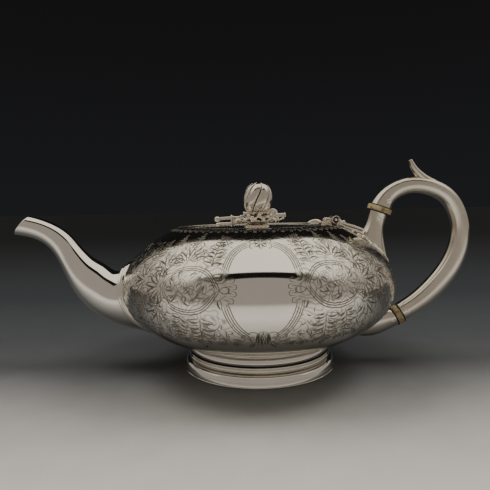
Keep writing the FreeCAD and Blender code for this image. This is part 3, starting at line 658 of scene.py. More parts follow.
class Engraving:
    """Bright-cut strokes over a surface: each is a thin closed sliver with two polished facets. A pattern's
    points are (u, v) in millimetres along and up the surface; mirror -1 turns the pattern left to right."""

    def __init__(self, place):
        self.place = place
        self.parts = Parts()
        self.mirror = 1

    def stroke(self, points, width=0.5, swell=False):
        """One cut along points of the pattern, tapering at both ends, or swelling in the middle."""
        count = len(points)
        middle = [np.array(self.place(self.mirror * u, v, 0.0)) for u, v in points]
        above = [np.array(self.place(self.mirror * u, v, 1.0)) for u, v in points]
        rows = []
        for number in range(count):
            along = middle[min(number + 1, count - 1)] - middle[max(number - 1, 0)]
            normal = above[number] - middle[number]
            side = np.cross(normal, along)
            side /= max(np.linalg.norm(side), 1e-9)
            share = number / (count - 1)
            taper = math.sin(math.pi * share) if swell else min(1, 7 * share, 7 * (1 - share))
            half = width / 2 * max(taper, 0.12)
            rows.append([middle[number] - side * half - normal * 0.04,
                         middle[number] + normal * (0.03 + half * 0.32),
                         middle[number] + side * half - normal * 0.04])
        self.parts.grid(rows, capped=True)


def walk(start, heading, length, bend, count=12, tighten=0.0):
    """A path in the pattern: it sets off on its heading and turns by bend in all, faster at the end."""
    points = [tuple(start)]
    u, v = start
    for step in range(count):
        share = (step + 0.5) / count
        angle = math.radians(heading + bend * (share + tighten * share ** 3) / (1 + tighten))
        u += math.cos(angle) * length / count
        v += math.sin(angle) * length / count
        points.append((u, v))
    return points


def lobe(work, base, heading, length, width, bend=0.0, shade=1.0):
    """A leaf's lobe: a pointed outline, and a swelling cut down one side."""
    spine = walk(base, heading, length, bend, 10)
    left, right = [], []
    for number, (u, v) in enumerate(spine):
        ahead = spine[min(number + 1, 10)]
        behind = spine[max(number - 1, 0)]
        angle = math.atan2(ahead[1] - behind[1], ahead[0] - behind[0]) + math.pi / 2
        half = width / 2 * math.sin(math.pi * min(1, (number / 10) ** 0.75)) + 0.02
        left.append((u + math.cos(angle) * half, v + math.sin(angle) * half))
        right.append((u - math.cos(angle) * half, v - math.sin(angle) * half))
    work.stroke(left, 0.46)
    work.stroke(right, 0.46)
    if shade:
        inner = right if bend >= 0 else left
        cut = [((a[0] + b[0] * 2) / 3, (a[1] + b[1] * 2) / 3) for a, b in zip(spine, inner)]
        work.stroke(cut[2:-1], shade, swell=True)


def frond(work, base, heading, length, bend, pairs, reach, width, hook):
    """A feathery leaf: a curved stem with pairs of hooked lobes, longest in the middle."""
    stem = walk(base, heading, length, bend, 24)
    work.stroke(stem, 0.5)
    for pair in range(pairs):
        share = 0.12 + 0.88 * pair / pairs
        number = int(share * 23)
        u, v = stem[number]
        ahead = stem[number + 1]
        angle = math.degrees(math.atan2(ahead[1] - v, ahead[0] - u))
        size = reach * (0.55 + 0.45 * math.sin(math.pi * min(1, share + 0.15)))
        for side in (-1, 1):
            lobe(work, (u, v), angle + side * (56 - 22 * share), size, width, side * hook * 0.6)
    lobe(work, stem[-3], heading + bend, reach * 0.7, width, 10)


def fan(work, base, heading, spread, count, length, width, hook, inner=0.18):
    """A shell of lobes spreading from one point."""
    for number in range(count):
        share = number / max(1, count - 1) * 2 - 1
        angle = heading + share * spread / 2
        size = length * (1 - 0.22 * share * share)
        u = base[0] + math.cos(math.radians(angle)) * length * inner
        v = base[1] + math.sin(math.radians(angle)) * length * inner
        lobe(work, (u, v), angle, size * (1 - inner), width, share * hook)


def scroll(work, start, heading, length, turn, width=0.55):
    """A stem that curls up into a spiral with a bead at its end."""
    path = walk(start, heading, length, turn, 30, tighten=1.6)
    work.stroke(path, width)
    work.stroke(circle(path[-1], 0.5, np.linspace(0, 2 * math.pi, 9)), 0.4)


def flower(work, centre, radius, petals, turn=0.0):
    """An open rose: rounded petals in two rings round a small eye."""
    for ring, size in ((0, 1.0), (1, 0.58)):
        for number in range(petals):
            angle = turn + (number + ring * 0.5) * 2 * math.pi / petals
            points = []
            for step in range(11):
                bow = (step / 10 * 2 - 1) * math.pi / petals * 1.05
                reach = radius * size * (0.62 + 0.38 * max(0.0, math.cos(bow * petals / 2)) ** 0.5)
                points += circle(centre, reach, [angle + bow])
            work.stroke(points, 0.36)
    work.stroke(circle(centre, radius * 0.2, np.linspace(0, 2 * math.pi, 10)), 0.5)


def oval_points(centre, across, above, first, last, point=0.0, count=60):
    """Part of an oval between two angles; point above 0 draws its inner end out to a tip."""
    points = []
    for step in range(count + 1):
        angle = math.radians(first + (last - first) * step / count)
        pinch = 1 + point * max(0.0, -math.cos(angle)) ** 2
        rise = math.copysign(abs(math.sin(angle)) ** pinch, math.sin(angle))
        points.append((centre[0] + across * math.cos(angle), centre[1] + above * rise))
    return points


# The frame in front: its widest height, half width, and reach above and below that height.
FRAME_MIDDLE, FRAME_HALF, FRAME_ABOVE, FRAME_BELOW = 14, 20.5, 24, 32
FRAME_FULLNESS = 2.7
CLASP_HEIGHT = 8.6
# The oval beside it, on each side: its centre and half sizes.
OVAL_CENTRE, OVAL_ACROSS, OVAL_ABOVE = (36.5, 8.6), 16.6, 11.9


def frame_point(degrees, inset):
    """A point on one line of the frame, which is fuller above than below."""
    turn = math.radians(degrees)
    reach, power = (FRAME_ABOVE, 2 / FRAME_FULLNESS) if math.sin(turn) > 0 else (FRAME_BELOW, 1)
    across = math.copysign(abs(math.cos(turn)) ** power, math.cos(turn)) * (FRAME_HALF - inset)
    up = math.copysign(abs(math.sin(turn)) ** power, math.sin(turn)) * (reach - inset)
    return across, FRAME_MIDDLE + up


def in_frame(u, v, margin):
    """Whether a point lies inside the frame, drawn out by a margin."""
    reach, power = (FRAME_ABOVE, FRAME_FULLNESS) if v > FRAME_MIDDLE else (FRAME_BELOW, 2)
    return (abs(u) / (FRAME_HALF + margin)) ** power + (abs(v - FRAME_MIDDLE) / (reach + margin)) ** power < 1


def engrave_cartouche(work):
    """The round plain field in front: a frame of four lines, two clasps, a crest and a leaf below."""
    for inset in (0, 1.1, 2.3, 3.5):
        for first, last in ((1, 78), (102, 179), (201, 255), (285, 339)):
            work.stroke([frame_point(first + (last - first) * step / 40, inset) for step in range(41)], 0.62)
    for side in (-1, 1):
        for finger in (-1.5, -0.5, 0.5, 1.5):
            u, v = side * (FRAME_HALF - 1), CLASP_HEIGHT + finger * 2.3
            tip_u, tip_v = u - side * (6.9 - abs(finger) * 1.2), v + finger * 0.9
            bow = [(tip_u - side * 1.2 * math.sin(a), tip_v - 1.15 * math.cos(a))
                   for a in np.linspace(0, math.pi, 8)]
            work.stroke([(u, v - 1.1)] + bow + [(u, v + 1.1)], 0.5)
            work.stroke([(u, v + 0.2), (tip_u + side * 2, tip_v + 0.3), (tip_u, tip_v)], 0.6, swell=True)
        base = side * (FRAME_HALF + 0.6)
        for lift in (-1, 1):
            heading = (180 if side > 0 else 0) + side * lift * 62
            scroll(work, (base, CLASP_HEIGHT + lift * 1.2), heading, 8, side * lift * -170, 0.5)
            lobe(work, (base - side, CLASP_HEIGHT + lift * 4.2), 90 * lift, 5, 2, side * lift * 30)
    top, bottom = FRAME_MIDDLE + FRAME_ABOVE - 1.8, FRAME_MIDDLE - FRAME_BELOW + 1.5
    fan(work, (0, top + 1.5), -90, 150, 5, 6, 2.6, 20)
    fan(work, (0, top), 90, 110, 3, 5, 2.4, 14)
    fan(work, (0, bottom + 6.5), -90, 62, 5, 12, 2.6, -24, inner=0.05)
    for side in (-1, 1):
        outward = 0 if side > 0 else 180
        for u, v, turn, length, curl in ((1.5, top, 20, 9, -200), (1.6, top + 1.2, 55, 8, -190),
                                         (1.2, bottom + 3, 55, 10, -230), (1.4, bottom - 1, -20, 8, 200)):
            scroll(work, (side * u, v), outward + side * turn, length, side * curl)
        lobe(work, (side * 4.5, bottom - 1), -90 + side * 12, 6.5, 1.8, side * 25)


# The spray's leaves, from the oval's centre: u, v, heading and length.
SPRAY_LEAVES = [
    (-9, -1.6, 80, 4.6), (-9.5, -2, -40, 4.2), (-5, 0.2, 110, 4.2), (-5.5, -0.6, -70, 4.4), (-1, 1, -60, 4.6),
    (9, 1.4, 40, 4.8), (9, 0, -20, 4.8), (7, -3, -60, 5), (2, -3, -110, 4.6), (6, 5.4, 70, 4),
    (-3.6, -5, 160, 4.4), (0, 5.5, 120, 4), (-11, 1, 150, 3.2), (-2, -7, 10, 4.4),
]
# What grows round the oval: the shape, its base u and v, its heading, and its own sizes.
SURROUND = [
    (frond, 27, 19.5, 96, 20, -10, 6, 7.4, 2.1, 80), (frond, 30, -3.6, -88, 19, 8, 6, 8.6, 2.2, 100),
    (frond, 40, -3.2, -62, 15, -36, 5, 6.2, 1.9, 80), (fan, 41, 21, 72, 120, 8, 15, 2.3, 50),
    (fan, 53, 17, 52, 120, 7, 14, 2.2, 50), (fan, 52.5, 9, 0, 150, 9, 15, 2.3, 60),
    (fan, 66, 11, 8, 140, 7, 14, 2.2, 50), (fan, 53, 0, -48, 120, 7, 13, 2.1, 50),
    (frond, 67, 22, 66, 14, 30, 5, 6, 1.9, 70), (frond, 64, 3, -40, 15, -24, 5, 6, 1.9, 70),
    (scroll, 33, 31, 100, 12, 260), (scroll, 36, 34, 60, 12, -240), (scroll, 50, 30, 80, 12, 240),
    (scroll, 20, -7, -70, 11, 230), (scroll, 47, -9, -30, 12, -240),
]
UPPER_FRONDS = [(20, 34, 64, 11, -30, 4, 4.8, 1.6, 70), (44, 34, 80, 10, 20, 4, 4.8, 1.6, 70),
                (58, 32, 70, 10, 20, 4, 4.8, 1.6, 70)]


def engrave_side(work, side, rise):
    """The ornament on one side of the cartouche: a framed rose spray with leaves and scrolls round it."""
    work.mirror = side
    u, v = centre = (OVAL_CENTRE[0], OVAL_CENTRE[1] + rise)
    for inset in (0, 1.2, 2.2):
        for end in (1, -1):
            outline = oval_points(centre, OVAL_ACROSS - inset, OVAL_ABOVE - inset, end * 38, end * 180, 0.9)
            work.stroke(outline, 0.6)
    for inset in (0, 1.2):
        work.stroke(oval_points((u + 2.4, v), 13.2 - inset, 8.6 - inset, -70, 70), 0.44)
    for lift in (-1, 1):
        scroll(work, (u + 13, v + lift * 7.4), lift * -40, 9, lift * 250)
        scroll(work, (u + 9, v + lift * 8), lift * -20, 7, lift * -210)
        lobe(work, (u + 15, v + lift * 5), lift * 50, 6, 2.2, lift * -30)
    work.stroke(walk((u - 12, v - 3), 24, 17, -20, 20), 0.5)
    work.stroke(walk((u - 4, v - 7.5), 75, 10, -40, 14), 0.45)
    flower(work, (u + 4.5, v + 1.2), 3.7, 5, 0.4)
    flower(work, (u - 4.6, v + 4.2), 2.3, 5)
    for along, up, heading, length in SPRAY_LEAVES:
        lobe(work, (u + along, v + up), heading, length, 2, 24, 0.7)
    for draw, along, up, *sizes in SURROUND:
        draw(work, (along, up + rise), *sizes)
    for along, up, *sizes in UPPER_FRONDS:
        frond(work, (along, up + rise * 0.4), *sizes)
    chance = random.Random(12 + side)
    for number in range(9):
        across = 12 + number * 6.4
        low = -17.5 + 0.045 * across
        flower(work, (across, low + chance.uniform(-0.8, 0.8)), 1.5, 5, chance.uniform(0, 1))
        for leaf_number in range(5):
            heading = -150 + leaf_number * 33 + chance.uniform(-9, 9)
            lobe(work, (across + 2.2, low - 1.2), heading, chance.uniform(3.2, 4.8), 1.4,
                 chance.uniform(-40, 40), 0.6)
        lobe(work, (across - 1.6, low + 1.6), chance.uniform(50, 120), 3.4, 1.4, 20, 0.6)
    engrave_fill(work, centre, chance)
    work.mirror = 1


def engrave_fill(work, centre, chance):
    """Small loose leaves wherever the frame and the oval leave room."""
    for row in range(17):
        for column in range(26):
            u = 17 + column * 3.4 + (row % 2) * 1.7 + chance.uniform(-0.8, 0.8)
            v = -13 + row * 3.3 + chance.uniform(-0.7, 0.7)
            near_oval = math.hypot((u - centre[0]) / 17.5, (v - centre[1]) / 13) < 1
            if near_oval or in_frame(u, v, 2.2) or v > 36:
                continue
            heading = math.degrees(math.atan2(v - centre[1], (u - centre[0]) * 0.8)) + chance.uniform(-35, 35)
            path = walk((u, v), heading, chance.uniform(2.6, 4.4),
                        chance.choice((-1, 1)) * chance.uniform(50, 110), 6)
            work.stroke(path, chance.uniform(0.5, 0.8), swell=True)


def engrave_bowl():
    """The same engraving on both faces of the bowl."""
    for name, facing in (("front", 0), ("back", 180)):
        work = Engraving(lambda u, v, lift: bowl_place(facing + math.degrees(u / WIDEST), v, lift))
        engrave_cartouche(work)
        engrave_side(work, -1, 0)
        engrave_side(work, 1, 2)
        work.parts.piece("engraving_" + name, CUT_OXIDE_AND_SHADE, POT, "engraved_silver")


def engrave_borders():
    """The scalloped borders: one on the lid's edge and one on the bowl round its mouth."""
    def on_lid(u, v, lift):
        radius = 45 - v
        angle = u / 45
        return (radius * math.cos(angle), radius * math.sin(angle), 85.03 - 0.033 * (45.4 - radius) + lift)

    def on_bowl(u, v, lift):
        return bowl_place(math.degrees(u / 49), 49.9 - v, lift)
    count = 68
    for name, place, body, radius in (("lid", on_lid, LID, 45), ("mouth", on_bowl, POT, 49)):
        work = Engraving(place)
        step = 2 * math.pi * radius / count
        for number in range(count):
            start = number * step
            work.stroke([(start + step * a / 8, 1.5 * math.sin(math.pi * a / 8)) for a in range(9)], 0.26)
            for lean, length, width in ((0, 2.1, 0.8), (-34, 1.7, 0.7), (34, 1.7, 0.7)):
                lobe(work, (start + step / 2, 1.8), 90 + lean, length, width, lean * -0.4, 0)
            lobe(work, (start, 0.5), 90, 2.0, 0.8, 0, 0)
        work.parts.piece("border_" + name, CUT_OXIDE_AND_SHADE, body, "engraved_silver")


# ---------------------------------------------------------------- cast work

def around(heading, reach, height):
    """A point round the Z axis."""
    return (reach * math.cos(math.radians(heading)), reach * math.sin(math.radians(heading)), height)


def blob(parts, centre, radii, count=20, rings=12):
    """A smooth closed bead."""
    rows = []
    for ring in range(rings + 1):
        polar = math.pi * (ring + 0.02) / (rings + 0.04)
        wide, tall = math.sin(polar), math.cos(polar)
        rows.append([tuple(Vector((radii[0] * wide * math.cos(angle), radii[1] * wide * math.sin(angle),
                                   radii[2] * tall)) + Vector(centre)) for angle in turns_round(count)])
    parts.grid(rows, capped=True)


def sweep(parts, points, radii, count=16):
    """A closed tapering tube along a smooth path."""
    path = Path([tuple(point) + (radius,) for point, radius in zip(points, radii)], spatial=3)
    steps = max(12, int(path.length * 3))
    rows = []
    side = Vector((0, 1, 0))
    for step in range(steps + 1):
        at = path.length * step / steps
        x, y, z, radius = path.at(at)
        ahead, behind = path.at(min(at + 0.05, path.length)), path.at(max(at - 0.05, 0))
        along = (Vector(ahead[:3]) - Vector(behind[:3])).normalized()
        side = (side - along * side.dot(along)).normalized()
        over = along.cross(side)
        rows.append([tuple(Vector((x, y, z)) + (side * math.cos(turn) + over * math.sin(turn)) * radius)
                     for turn in turns_round(count)])
    parts.grid(rows, capped=True)


def leaf(parts, root, heading, rise, length, width, curl, cup, thick, teeth, waves):
    """A chased leaf: it leaves its root along its heading, climbs, curls at the tip, and has a raised midrib,
    side veins and a toothed edge."""
    steps, columns = 26, 14
    along = Vector((math.cos(math.radians(heading)), math.sin(math.radians(heading)), 0))
    across = Vector((-along.y, along.x, 0))
    up = Vector((0, 0, 1))
    place = Vector(root)
    rows = []
    for step in range(steps + 1):
        share = step / steps
        climb = math.radians(rise + curl * share)
        ahead = along * math.cos(climb) + up * math.sin(climb)
        normal = up * math.cos(climb) - along * math.sin(climb)
        tooth = 1 + waves * math.sin(share * teeth * 2 * math.pi)
        half = width / 2 * (math.sin(math.pi * share ** 0.7) ** 0.8 * tooth + 0.1)
        top, under = [], []
        for column in range(columns + 1):
            side = column / columns * 2 - 1
            vein = 0.12 * math.sin((share * teeth * 2 + abs(side) * 1.4) * 2 * math.pi) * abs(side)
            rib = 0.35 * math.exp(-(side / 0.16) ** 2)
            height = cup * side * side * half * 0.5 + rib + vein
            edge = thick * (1 - side * side) ** 0.5
            middle = place + across * (side * half)
            top.append(tuple(middle + normal * (height + edge * 0.5)))
            under.append(tuple(middle + normal * (height - rib - edge * 0.5)))
        rows.append(top + under[::-1][1:-1])
        place = place + ahead * (length / steps)
    parts.grid(rows, capped=True)


def make_fruit():
    """The fruit: overlapping petals folded round each other, with slanting seams from a small tip."""
    rows, lobes, turns = 90, 7, turns_round(168)
    rings = []
    for row in range(rows + 1):
        share = row / rows
        band = abs(2 * (0.12 + 0.87 * share) - 1)
        radius = 8.7 * (1 - band ** 2.4) ** 0.48
        lean = 0.5 + 1.0 * share
        points = []
        for turn in turns:
            phase = (turn * lobes / (2 * math.pi) - 1.05 * share + 0.3) % 1
            seam = math.exp(-(min(phase, 1 - phase) / 0.05) ** 2)
            puff = math.sin(math.pi * phase) ** 0.6
            reach = radius * (0.93 + 0.07 * puff + 0.05 * phase - 0.16 * seam)
            points.append((lean + reach * math.cos(turn), reach * math.sin(turn), 94.2 + 17.7 * share))
        rings.append(points)
    for radius, height in ((0.9, 112.1), (0.5, 112.4), (0.05, 112.4)):
        rings.append([(x, y, height) for x, y in circle((1.5, 0), radius, turns)])
    fruit = Parts()
    fruit.grid(rings, capped=True)
    fruit.piece("finial_fruit_bud", CAST, LID, "cast_silver", "finial_fruit")


def make_cluster():
    """The leaves, petals and berries under the fruit."""
    chance = random.Random(5)
    low = Parts()
    for heading, length, width, rise, curl in (
            (0, 15.6, 6.4, -4, 26), (48, 12.8, 6.6, -2, 24), (92, 12, 6.4, -3, 26), (138, 13, 6.6, 0, 18),
            (180, 14, 6.2, 2, -4), (222, 13, 6.6, -2, 20), (266, 12.2, 6.6, -4, 26),
            (312, 13.4, 6.6, -2, 26)):
        leaf(low, around(heading, 1.5, 87.6), heading, rise, length, width, curl, 0.3, 0.8, 3, 0.14)
    low.piece("finial_leaves_low", CAST, LID, "cast_silver", "finial_leaves")
    high = Parts()
    for number in range(11):
        heading = number * 360 / 11 + chance.uniform(-8, 8)
        length = 9.8 * (1 + 0.22 * math.cos(math.radians(heading)) ** 2)
        root = around(heading, 2.2, 90.4 + chance.uniform(0, 0.5))
        leaf(high, root, heading, 8, length, 6.0, -40, 0.35, 1.7, 2, 0.1)
    for number in range(9):
        heading = number * 40 + 14
        leaf(high, around(heading, 2.2, 92.0), heading, 34, 6.2, 4.4, -50, 0.3, 1.4, 1, 0.1)
    for heading, reach, height, size in (
            (20, 9.4, 91.6, 1.5), (75, 8.6, 92, 1.4), (-28, 9.2, 91.8, 1.4), (-80, 8.4, 92.1, 1.3),
            (-125, 8.8, 91.8, 1.3), (-165, 9.6, 91.4, 1.3), (150, 9.2, 91.5, 1.3), (-55, 11, 90.9, 1.2),
            (-105, 11, 90.7, 1.2), (-10, 12.4, 90.4, 1.2)):
        blob(high, around(heading, reach, height), (size, size * 0.9, size * 0.8))
    blob(high, (0.4, 0, 90.6), (7.4, 7.2, 2.0), count=36)
    high.piece("finial_leaves_high", CAST, LID, "cast_silver")


def make_stems():
    """Cut stems: a pair with a bract and knobbed ends, and a short one opposite with a curled leaf."""
    stems = Parts()
    sweep(stems, [(-9, 0.6, 90.2), (-14, 1, 90.6), (-19, 1.4, 90.5), (-23.6, 1.7, 90.1)],
          [1.6, 1.1, 1.0, 1.05])
    sweep(stems, [(-9, -0.6, 88.2), (-14, -1, 87.5), (-19, -1.3, 87.2), (-23, -1.6, 87.2)],
          [1.4, 0.95, 0.9, 0.95])
    blob(stems, (-24.2, 1.7, 90), (1.9, 1.9, 1.8))
    blob(stems, (-23.6, -1.6, 86.7), (1.6, 1.6, 1.3))
    for x, tall in ((-15.4, 3.5), (-14.4, 3.0)):
        ring = [[(x + 0.5 * math.cos(b), (tall * 0.72 + 0.5 * math.sin(b)) * math.cos(a),
                  88.8 + (tall + 0.5 * math.sin(b)) * math.sin(a)) for b in turns_round(10)]
                for a in turns_round(32)]
        stems.grid(ring, looped=True)
    for heading, rise in ((172, 24), (186, -14), (180, 4)):
        leaf(stems, (-7.5, (heading - 180) * -0.12, 88.8), heading, rise, 7.6, 3.6, -rise, 0.4, 0.9, 2, 0.1)
    sweep(stems, [(8, -1.2, 91), (11, -1.6, 91.6), (14, -2, 91.9), (16.8, -2.4, 91.9)],
          [1.3, 1.2, 1.15, 1.35])
    blob(stems, (16.9, -2.4, 91.9), (0.9, 1.5, 1.5))
    curl = [(9 + 3.0 * math.cos(a) * (1 - a / 11), -1.6 - a * 0.1, 92.9 + 2.5 * math.sin(a) * (1 - a / 11))
            for a in np.linspace(-1.4, 5.2, 14)]
    sweep(stems, curl, [1.0] * 6 + [0.9] * 4 + [0.8] * 4, 14)
    blob(stems, (9.4, -2, 93.1), (1.5, 1.1, 1.4))
    stems.piece("finial_stem_ends", CAST, LID, "cast_silver", "finial_stems")


def make_pedestal():
    """The flower-shaped foot of the finial: eight round petals, hollowed down their middles."""
    rows = []
    for radius, height, wave in ((2, 86.9, 0), (5.0, 86.9, 0.03), (6.3, 86.75, 0.07), (7.3, 86.3, 0.1),
                                 (7.9, 85.7, 0.11), (8.1, 85.1, 0.11), (7.9, 84.5, 0.1), (7.3, 84.05, 0.08),
                                 (6.6, 83.8, 0.06), (2, 83.7, 0)):
        row = []
        for turn in turns_round(192):
            reach = radius * (1 - wave + wave * abs(math.sin(turn * 4)) ** 0.6)
            hollow = 0.35 * math.exp(-(math.cos(turn * 4) / 0.3) ** 2) if radius > 5.5 and height > 85 else 0
            row.append((reach * math.cos(turn), reach * math.sin(turn), height - hollow))
        rows.append(row)
    foot = Parts()
    foot.grid(rows, capped=True)
    foot.piece("finial_foot", CAST, LID, "cast_silver", "finial_pedestal")


# ---------------------------------------------------------------- hinge, thumb-piece and leaf mount

def bar(parts, outline, near, far, bevel):
    """A plate with rounded edges: an outline in XZ from the hinge's axis, from near to far along Y."""
    outline = [(HINGE_X + x, HINGE_Z + z) for x, z in outline]
    centre = np.mean(np.array(outline, float), axis=0)
    rows = []
    for y, inset in ((near, bevel), (near + bevel * 0.3, bevel * 0.3), (near + bevel, 0), (far - bevel, 0),
                     (far - bevel * 0.3, bevel * 0.3), (far, bevel)):
        row = []
        for x, z in outline:
            away = np.array((x, z)) - centre
            pull = inset / max(np.linalg.norm(away), 1e-6)
            row.append((x - away[0] * pull, y, z - away[1] * pull))
        rows.append(row)
    parts.grid(rows, capped=True)


def hinge_rings(profile, count):
    """Rings for a profile of (radius, y) turned about the hinge's axis."""
    turns = turns_round(count)
    return [[(x, y, z) for x, z in circle((HINGE_X, HINGE_Z), radius, turns)] for radius, y in profile]


def knuckle(near, far, recess):
    """Rings of a hinge knuckle round the pin, with a recess of some depth in its near end."""
    return hinge_rings([(1.05, near + 0.3), (1.9, near + recess), (2.05, near), (2.3, near),
                        (2.4, near + 0.25), (2.4, far - 0.25), (2.2, far), (1.05, far)], 48)


def make_hinge_arm():
    arm = Parts()
    outer = knuckle(-7, -3.45, 0.3)
    for side in (-1, 1):
        near, far = sorted((side * 3.45, side * 7))
        arm.grid([[(x, -side * y, z) for x, y, z in ring] for ring in outer], looped=True)
        bar(arm, [(1.6, 1.3), (3.2, -0.7), (6, -1.9), (11.9, -3.9), (17, -6), (17, -7.1), (11.9, -5.1),
                  (5, -2.9), (1.2, -1.8)], near, far, 0.3)
        bar(arm, [(-1.2, -1.9), (2.4, -2.1), (5, -3.5), (11.9, -6), (16.4, -7.8), (15.8, -8.8), (10.5, -6.9),
                  (4.6, -4.3), (0.8, -3.0)], near, far, 0.25)
        blob(arm, (HINGE_X + 4.6, side * 5.6, HINGE_Z - 1.4), (1.2, 1.7, 1.2))
    arm.piece("hinge_arm_straps", CAST, POT, "polished_silver", "hinge_arm")


def make_hinge_tongue():
    tongue = Parts()
    tongue.grid(knuckle(-3.2, 3.2, 0), looped=True)
    bar(tongue, [(-1.2, 1.7), (-3.4, 0.5), (-7.4, -0.9), (-8.6, -3.3), (-6.8, -3.5), (-3.4, -3.3),
                 (-1.4, -1.9)],
        -3.1, 3.1, 0.4)
    curl = [(HINGE_X - 4.6 + 1.9 * math.cos(a) * (1 - a / 12),
             HINGE_Z - 0.9 + 1.9 * math.sin(a) * (1 - a / 12))
            for a in np.linspace(0.6, 5.6, 14)]
    for side in (-1, 1):
        sweep(tongue, [(x, side * 3.3, z) for x, z in curl], [0.62] * 14, 12)
        roll = [(HINGE_X + x, side * y, HINGE_Z + z) for x, y,
                z in ((-4.8, 3.0, -2.7), (-3, 3.3, -3.1), (-1.6, 3.2, -2.9))]
        sweep(tongue, roll, [0.5, 0.55, 0.4], 12)
    tongue.piece("hinge_tongue", CAST, LID, "polished_silver", "lid_hinge_leaf")


def make_hinge_pin():
    """The pin, and a near-black ring round each of its ends, painted shade in the knuckle's recess that it
    stands in.
    """
    pin = Parts()
    pin.grid(hinge_rings([(0.02, -6.95), (0.5, -6.92), (0.85, -6.7), (0.95, -6.5), (0.95, 6.5), (0.85, 6.7),
                          (0.5, 6.92), (0.02, 6.95)], 32))
    pin.piece("hinge_pin_bar", POLISHED, POT, "polished_silver", "hinge_pin")
    well = Parts()
    for side in (-1, 1):
        profile = [(r, side * y) for r, y in ((1.0, 6.74), (1.85, 6.74), (1.85, 6.6), (1.0, 6.6))]
        well.grid(hinge_rings(profile, 32), looped=True)
    well.piece("hinge_pin_shade_rings", DARK_GAP, POT, "polished_silver")


def make_hinge_bud():
    bud = Parts()
    rows = []
    for step in range(31):
        share = step / 30
        size = 1.95 * math.sin(math.pi * (0.02 + 0.93 * share ** 1.15)) ** 0.8
        rows.append([(31.2 + 8.4 * share, size * (1 + 0.07 * math.cos(3 * turn)) * math.sin(turn),
                      87.1 + size * 0.92 * math.cos(turn) * (1 + 0.07 * math.cos(3 * turn)))
                     for turn in turns_round(36)])
    bud.grid(rows, capped=True)
    bud.piece("hinge_bud_cast", CAST, LID, "cast_silver", "hinge_bud")


def make_thumb():
    """The curled leaf on top of the handle, with a folded midrib that runs down into the tube."""
    path = Path([(93.8, 0, 123.6, 1.7, 1.5), (94.7, 0, 121.2, 2.6, 2.3), (96.4, 0, 118, 3.3, 3.0),
                 (99.8, 0, 114.2, 4.0, 3.5), (104.2, 0, 111, 4.2, 3.6), (110.4, 0, 107.2, 4.6, 3.4),
                 (115, 0, 102.6, 3.4, 2.6)], spatial=3)
    rows = []
    for step in range(61):
        at = path.length * step / 60
        x, _, z, tall, wide = path.at(at)
        ahead, behind = path.at(min(at + 0.1, path.length)), path.at(max(at - 0.1, 0))
        along = Vector((ahead[0] - behind[0], 0, ahead[2] - behind[2])).normalized()
        over = Vector((-along.z, 0, along.x))
        row = []
        for turn in turns_round(40):
            fold = 1 - 0.2 * math.exp(-((abs(math.sin(turn)) - 0.35) / 0.14) ** 2)
            row.append(tuple(Vector((x, 0, z)) + over * (tall * 0.62 * math.cos(turn) * fold)
                             + Vector((0, wide * 0.86 * math.sin(turn), 0))))
        rows.append(row)
    thumb = Parts()
    thumb.grid(rows, capped=True)
    thumb.piece("thumb_leaf", WORN, POT, "cast_silver", "thumb_piece")


def make_leaf_mount():
    """The cast leaf that spreads over the shoulder from the foot of the upper socket: pointed lobes with
    raised ribs and a rolled edge, and two curled tips."""
    def place(across, climb, lift):
        return bowl_place(90 + math.degrees(across / 70), 25 + climb, lift)
    mount = Parts()
    rings, lobes = 26, 11
    rows = []
    for ring in range(rings + 1):
        share = ring / rings
        row = []
        for turn in turns_round(288):
            edge = 14.2 + 1.2 * math.cos(2 * turn) + 2.6 * abs(math.cos(lobes * turn / 2)) ** 1.4
            reach = 4 + (edge - 4) * share
            rib = 0.5 + 0.5 * math.cos(lobes * turn)
            roll = 0.35 * (share > 0.86)
            lift = 1.25 * (1 - share) ** 0.8 + 0.25 + 0.5 * rib * math.sin(math.pi * share) + roll
            lift = lift if ring < rings else -0.25
            row.append(place(reach * math.cos(turn), reach * math.sin(turn), lift))
        rows.append(row)
    mount.grid(rows, capped=True)
    curl = [(14.6 + 2.1 * math.cos(a) * (1 - a / 10), 7.6 + 2.1 * math.sin(a) * (1 - a / 10), 0.9)
            for a in np.linspace(-0.8, 4.6, 12)]
    for side in (-1, 1):
        for ridge, radii in ((curl, [0.95] * 6 + [0.8] * 6),
                             ([(6, 9, 1.2), (10, 8.6, 0.9), (14, 6.4, 0.7), (18, 2.4, 0.4)],
                              [0.8, 0.8, 0.7, 0.4]),
                             ([(7, 1, 1.0), (11, -1.5, 0.8), (14.5, -5.5, 0.6), (16.6, -10, 0.3)],
                              [0.8, 0.75, 0.65, 0.35])):
            sweep(mount, [place(side * across, climb, lift) for across, climb, lift in ridge], radii, 12)
    mount.piece("socket_leaf_mount", CAST, POT, "cast_silver", "upper_socket_leaf")


# ---------------------------------------------------------------- stage

